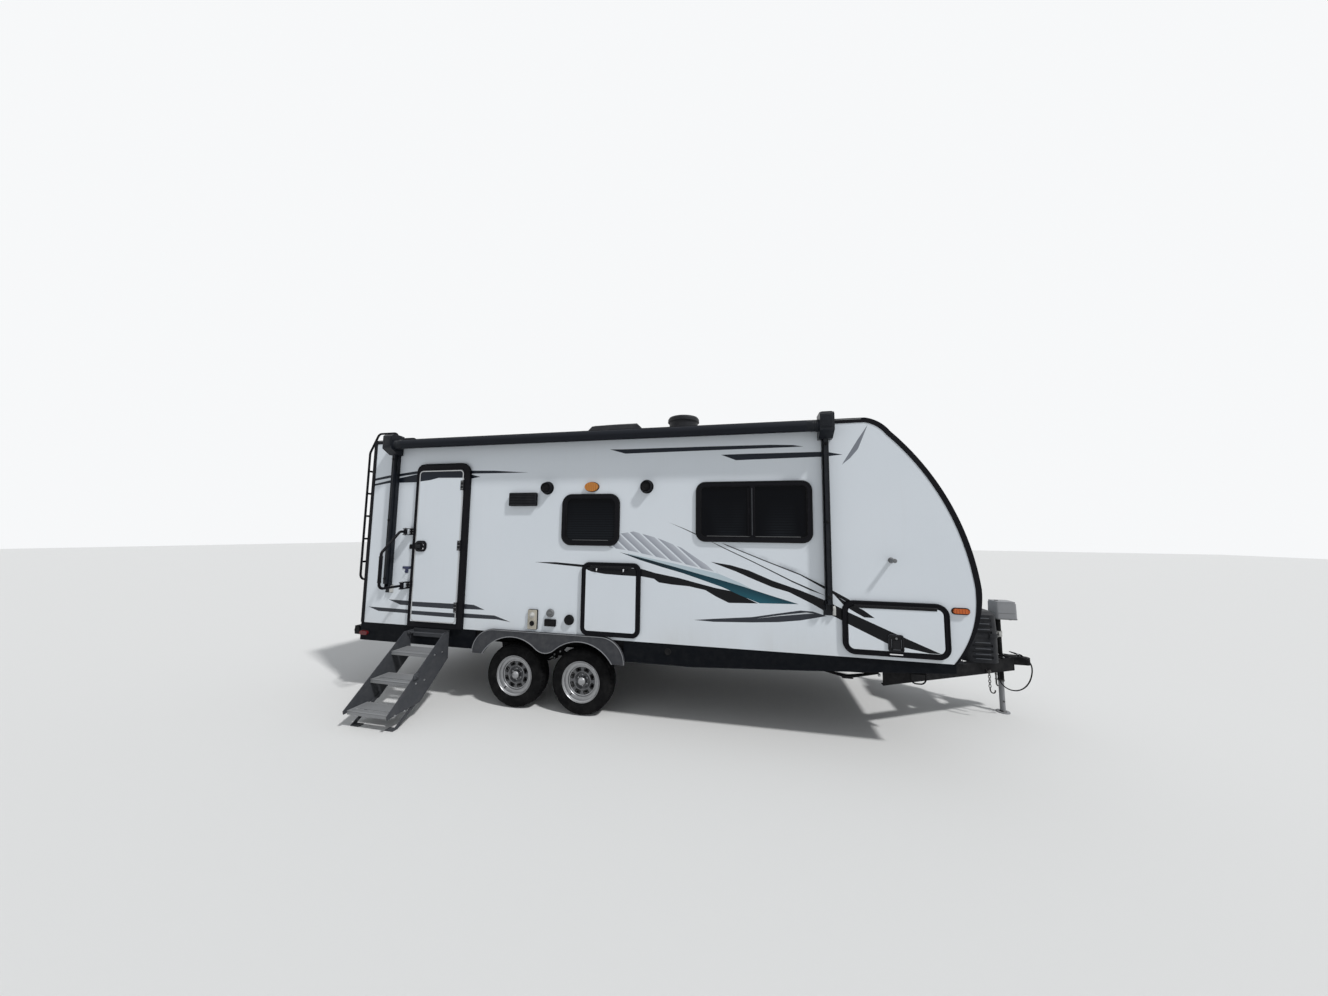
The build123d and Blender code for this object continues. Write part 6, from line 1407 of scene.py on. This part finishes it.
# Under the floor: nuts on the spring clamps and hanger bolts, pipes, brake wires, belly seams, steady nuts
under = {
    "railY": 0.855, "axles": (-0.3865, 0.3865), "clampX": 0.0435, "clampY": 0.028, "plateTop": 0.421,
    "eyes": [(-0.7045, 0.4615), (0.7045, 0.4615), (0.0, 0.5395), (-0.0685, 0.5015), (0.0685, 0.5015),
             (-0.0685, 0.4615), (0.0685, 0.4615)],
    "boltEnd": 0.0305,
    "nut": [(0, 0), (0, 11.5), (8.5, 11.5), (9.5, 7), (17, 6.5), (17.5, 0)],
    "eyeNut": [(0, 0), (0, 11.5), (8.5, 11.5), (9.5, 0)],
    "gas": [(3.6, 0.62, 0.722), (2.2, 0.62, 0.722), (2.1, 0.7, 0.722), (-1.9, 0.7, 0.722),
            (-2.0, 0.8, 0.722)],
    "gasRadius": 0.0095, "gasBend": 0.04,
    "gasClips": (-1.5, -0.6, 0.3, 1.2), "gasClip": (0.02, 0.034, 0.028), "gasClipAt": (0.7, 0.73),
    "waste": [(-1.42, 0.45, 0.735), (-1.42, 0.45, 0.61), (-1.42, 1.13, 0.59)],
    "wasteRadius": 0.038, "wasteBend": 0.07,
    "flange": [(0, 0), (0, 50), (16, 50), (18, 42), (30, 42), (32, 0)],
    "valve": (-1.42, 0.96, 0.595), "valveSize": (0.118, 0.02, 0.104), "pullUp": 0.045, "pullLong": 0.12,
    "pullRadius": 0.005, "gripRadius": 0.008, "gripHalf": 0.03,
    "wire": 0.0042,
    "drop": [(0.0, 0.06, 0.69), (0.0, 0.1, 0.3805), (0.0, 0.78, 0.3805)], "dropBend": 0.02,
    "lead": [(0.0, 0.78, 0.3805), (0.0, 0.96, 0.3805), (0.05, 1.0, 0.4)], "leadBend": 0.012,
    "band": [(-8, 37.8), (-8, 41.5), (8, 41.5), (8, 37.8)],
    "bands": (0.3, 0.62), "axleZ": 0.338,
    "seams": (-1.05, 1.15, 2.35), "seam": (0.05, 1.6, 0.003), "seamZ": 0.7425,
    "steadies": ((-2.31, -1), (3.32, 1)), "steadyZ": 0.55,
    "steadyNut": [(0, 0), (0, 15), (16, 15), (18, 12), (18, 0)],
    "loop": [(3.6, 0.597), (3.6, 0.53), (3.63, 0.497), (3.705, 0.497), (3.733, 0.53), (3.733, 0.597)],
    "loopWire": 0.0068, "loopBend": 0.018, "loopTab": (0.5885, 0.034, 0.046),
}
u = under
nuts = []
for side in (-1, 1):
    y = side * u["railY"]
    nuts += [turned(u["nut"], spot(x + dx * u["clampX"], y + dy * u["clampY"], u["plateTop"]), "z", 6)
             for x in u["axles"] for dx in (-1, 1) for dy in (-1, 1)]
    nuts += [turned(u["eyeNut"], spot(x, y + dy * u["boltEnd"], z), "y", 6, dy) for x, z in u["eyes"]
             for dy in (-1, 1)]
finished(nuts, "springNuts", "zinc", bevel=0.0005)
pipe = tube([spot(*place) for place in u["gas"]], u["gasRadius"], u["gasBend"])
clips = [block(spot(x, *u["gasClipAt"]), u["gasClip"]) for x in u["gasClips"]]
finished([pipe] + clips, "gasPipe", "chassis", smooth=60)
waste = tube([spot(*place) for place in u["waste"]], u["wasteRadius"], u["wasteBend"], 6)
x, y, z = u["waste"][-1]
flange = turned(u["flange"], spot(x, y - 0.002, z), "y", 32)
x, y, z = u["valve"]
up, long = z + u["pullUp"], u["pullLong"]
pull = rod(spot(x, y, up), spot(x + long, y, up), u["pullRadius"], 10)
grip = rod(*[spot(x + long, y + side * u["gripHalf"], up) for side in (-1, 1)], u["gripRadius"], 12)
finished([waste, flange, block(spot(x, y, z), u["valveSize"]), pull, grip], "wastePipe", "chassis",
         bevel=0.0015, smooth=50)
wires = []
for side in (-1, 1):
    for x in u["axles"]:
        wires += [tube([spot(x + dx, side * y, z) for dx, y, z in u[part]], u["wire"], u[part + "Bend"])
                  for part in ("drop", "lead")]
        wires += [turned(u["band"], spot(x, side * y, u["axleZ"]), "y", 24) for y in u["bands"]]
finished(wires, "brakeWires", "rubber", smooth=60)
finished([block(spot(x, 0, u["seamZ"]), u["seam"]) for x in u["seams"]], "bellySeams", "trim",
         bevel=0.0008)
nuts = [turned(u["steadyNut"], spot(x, side * u["railY"], u["steadyZ"]), "x", 6, way)
        for x, way in u["steadies"] for side in (-1, 1)]
finished(nuts, "steadyNuts", "zinc", bevel=0.0008)

# Bent loop under the front end of the rail
loop = tube([spot(x, -u["railY"], z) for x, z in u["loop"]], u["loopWire"], u["loopBend"])
z, long, wide = u["loopTab"]
tabs = [pad(spot(x, -u["railY"], z), long, wide, 0.006, 0.005, "up")
        for x in (u["loop"][0][0], u["loop"][-1][0])]
finished([loop] + tabs, "railLoop", "chassis", smooth=60)

# Road side: frames, slats and screws of the fridge vent and the heater boxes, two round caps
roadside = {
    "boxes": [(1.89, 1.23, 0.56, 0.33), (-1.63, 1.07, 0.33, 0.33), (1.13, 1.02, 0.24, 0.15)],
    "proud": 0.018, "pitch": 0.03, "slatTop": 0.045, "slatEnd": 0.022, "screwIn": 0.009,
    "slat": [(0, 17), (9, 17), (2, 22.5), (-4, 22.5)],
    "lid": 0.0038,
    "caps": [(-1.13, 1.0, 56), (-0.96, 1.0, 44)],
    "cap": [(0, 8), (5, 7), (8, 1), (20, 0), (23, -5), (23.5, -14), (20.5, -16)], "capFloor": 20.5,
    "bar": (1.1, 0.009, 0.01), "barOut": 0.0235,
}
for i, (x, z, wide, tall) in enumerate(roadside["boxes"]):
    out, end, inward = roadside["proud"], roadside["slatEnd"], roadside["screwIn"]
    border = pad(onWall("road", x, z, out - 0.001), wide - 0.004, tall - 0.004, 0.012, 0.005, "road", 0.014)
    slats = [strip("road", x - wide / 2 + end, z + tall / 2 - roadside["slatTop"] - roadside["pitch"] * n,
                   wide - 2 * end, roadside["slat"]) for n in range(int((tall - 0.06) / roadside["pitch"]))]
    corners = [(x + sx * (wide / 2 - inward), z + sz * (tall / 2 - inward)) for sx in (-1, 1)
               for sz in (-1, 1)]
    heads = screws("road", corners, out + roadside["lid"])
    finished([border] + slats + [heads], f"roadVent_{i}", "unit", bevel=0.0006)
for i, (x, z, radius) in enumerate(roadside["caps"]):
    profile = [(0, 0)] + [(out, radius + r) for out, r in roadside["cap"]] + [(roadside["capFloor"], 0)]
    share, thick, tall = roadside["bar"]
    bar = block(onWall("road", x, z, roadside["barOut"]), (radius * share / 1000, thick, tall))
    finished([knob("road", x, z, profile, 36), bar], f"roadCap_{i}", "midGrey", bevel=0.001)

# Rear: plugs in the bumper's ends, bare plate bracket with its lamp, drip strip over the wall
rear = {
    "bumper": (-2.5, 1.192, 0.693),
    "plug": [(0, 0), (0, 40), (4, 38), (6, 30), (2, 26), (2, 0)],
    "plate": (-0.52, 1.01, 0.33, 0.18), "hoodWide": 0.07,
    "hood": [(0.008, 0.0), (0.008, 0.03), (0.018, 0.036), (0.034, 0.028), (0.036, 0.0)],
    "drip": [(0.0, 0.0), (0.0, 0.014), (0.006, 0.016), (0.012, 0.0)], "dripAt": (1.165, 2.905),
}
x, y, z = rear["bumper"]
plugs = [turned(rear["plug"], spot(x, side * y, z), "y", 32, side) for side in (-1, 1)]
finished(plugs, "bumperPlugs", "rubber", bevel=0.0008)
y, z, wide, tall = rear["plate"]
board = pad(rearPlace(y, z), wide, tall, 0.014, 0.007, "rear")
rim = pad(rearPlace(y, z, 0.006), wide - 0.012, tall - 0.012, 0.01, 0.003, "rear", 0.008)
hood = plate([rearPlace(y - rear["hoodWide"] / 2, z + tall / 2 + up, out) for up, out in rear["hood"]],
             Vector((0, rear["hoodWide"], 0)))
finished([board, rim, hood], "plateHolder", "rubber", bevel=0.0015)
y, z = rear["dripAt"]
drip = plate([rearPlace(-y, z + up, out) for up, out in rear["drip"]], Vector((0, 2 * y, 0)))
finished(drip, "rearDrip", "satin", bevel=0.001)
print("underside and rear dressed")

# Floor, backdrop and light
studio = {
    "floor": 120, "floorColor": (0.72, 0.72, 0.71),
    "light": (0.93, 0.96, 1.0, 1), "lightStrength": 0.47,
    "backdrop": (0.93, 0.94, 0.95, 1), "backdropStrength": 1.0,
    "sun": 2.25, "sunAngle": 4, "sunFrom": (1.95, -1.0, 2.75),
}


def makeStage():
    bpy.ops.object.select_all(action="DESELECT")
    bpy.ops.mesh.primitive_plane_add(size=studio["floor"], location=(0, 0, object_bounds()[0].z))
    floor = bpy.context.object
    floor.name = "floorPlane"
    floor.data.materials.append(Graph("paleFloor").finish(color=studio["floorColor"], rough=0.9))
    world = bpy.data.worlds.new("studio")
    bpy.context.scene.world = world
    world.use_nodes = True
    tree = world.node_tree
    tree.nodes.clear()
    out = tree.nodes.new("ShaderNodeOutputWorld")
    path = tree.nodes.new("ShaderNodeLightPath")
    mix = tree.nodes.new("ShaderNodeMixShader")
    seen = path.outputs["Is Camera Ray"]
    for ray in ("Is Glossy Ray", "Is Transmission Ray"):
        either = tree.nodes.new("ShaderNodeMath")
        either.operation = "MAXIMUM"
        tree.links.new(seen, either.inputs[0])
        tree.links.new(path.outputs[ray], either.inputs[1])
        seen = either.outputs[0]
    tree.links.new(seen, mix.inputs[0])
    for socket, part in ((1, "light"), (2, "backdrop")):
        shade = tree.nodes.new("ShaderNodeBackground")
        shade.inputs[0].default_value = studio[part]
        shade.inputs[1].default_value = studio[part + "Strength"]
        tree.links.new(shade.outputs[0], mix.inputs[socket])
    tree.links.new(mix.outputs[0], out.inputs[0])
    data = bpy.data.lights.new("sun", "SUN")
    data.energy, data.angle = studio["sun"], math.radians(studio["sunAngle"])
    sun = bpy.data.objects.new("sun", data)
    bpy.context.scene.collection.objects.link(sun)
    sun.rotation_euler = Vector(studio["sunFrom"]).to_track_quat("Z", "Y").to_euler()
    bpy.context.scene.view_settings.view_transform = "Standard"


makeStage()
print("stage set")
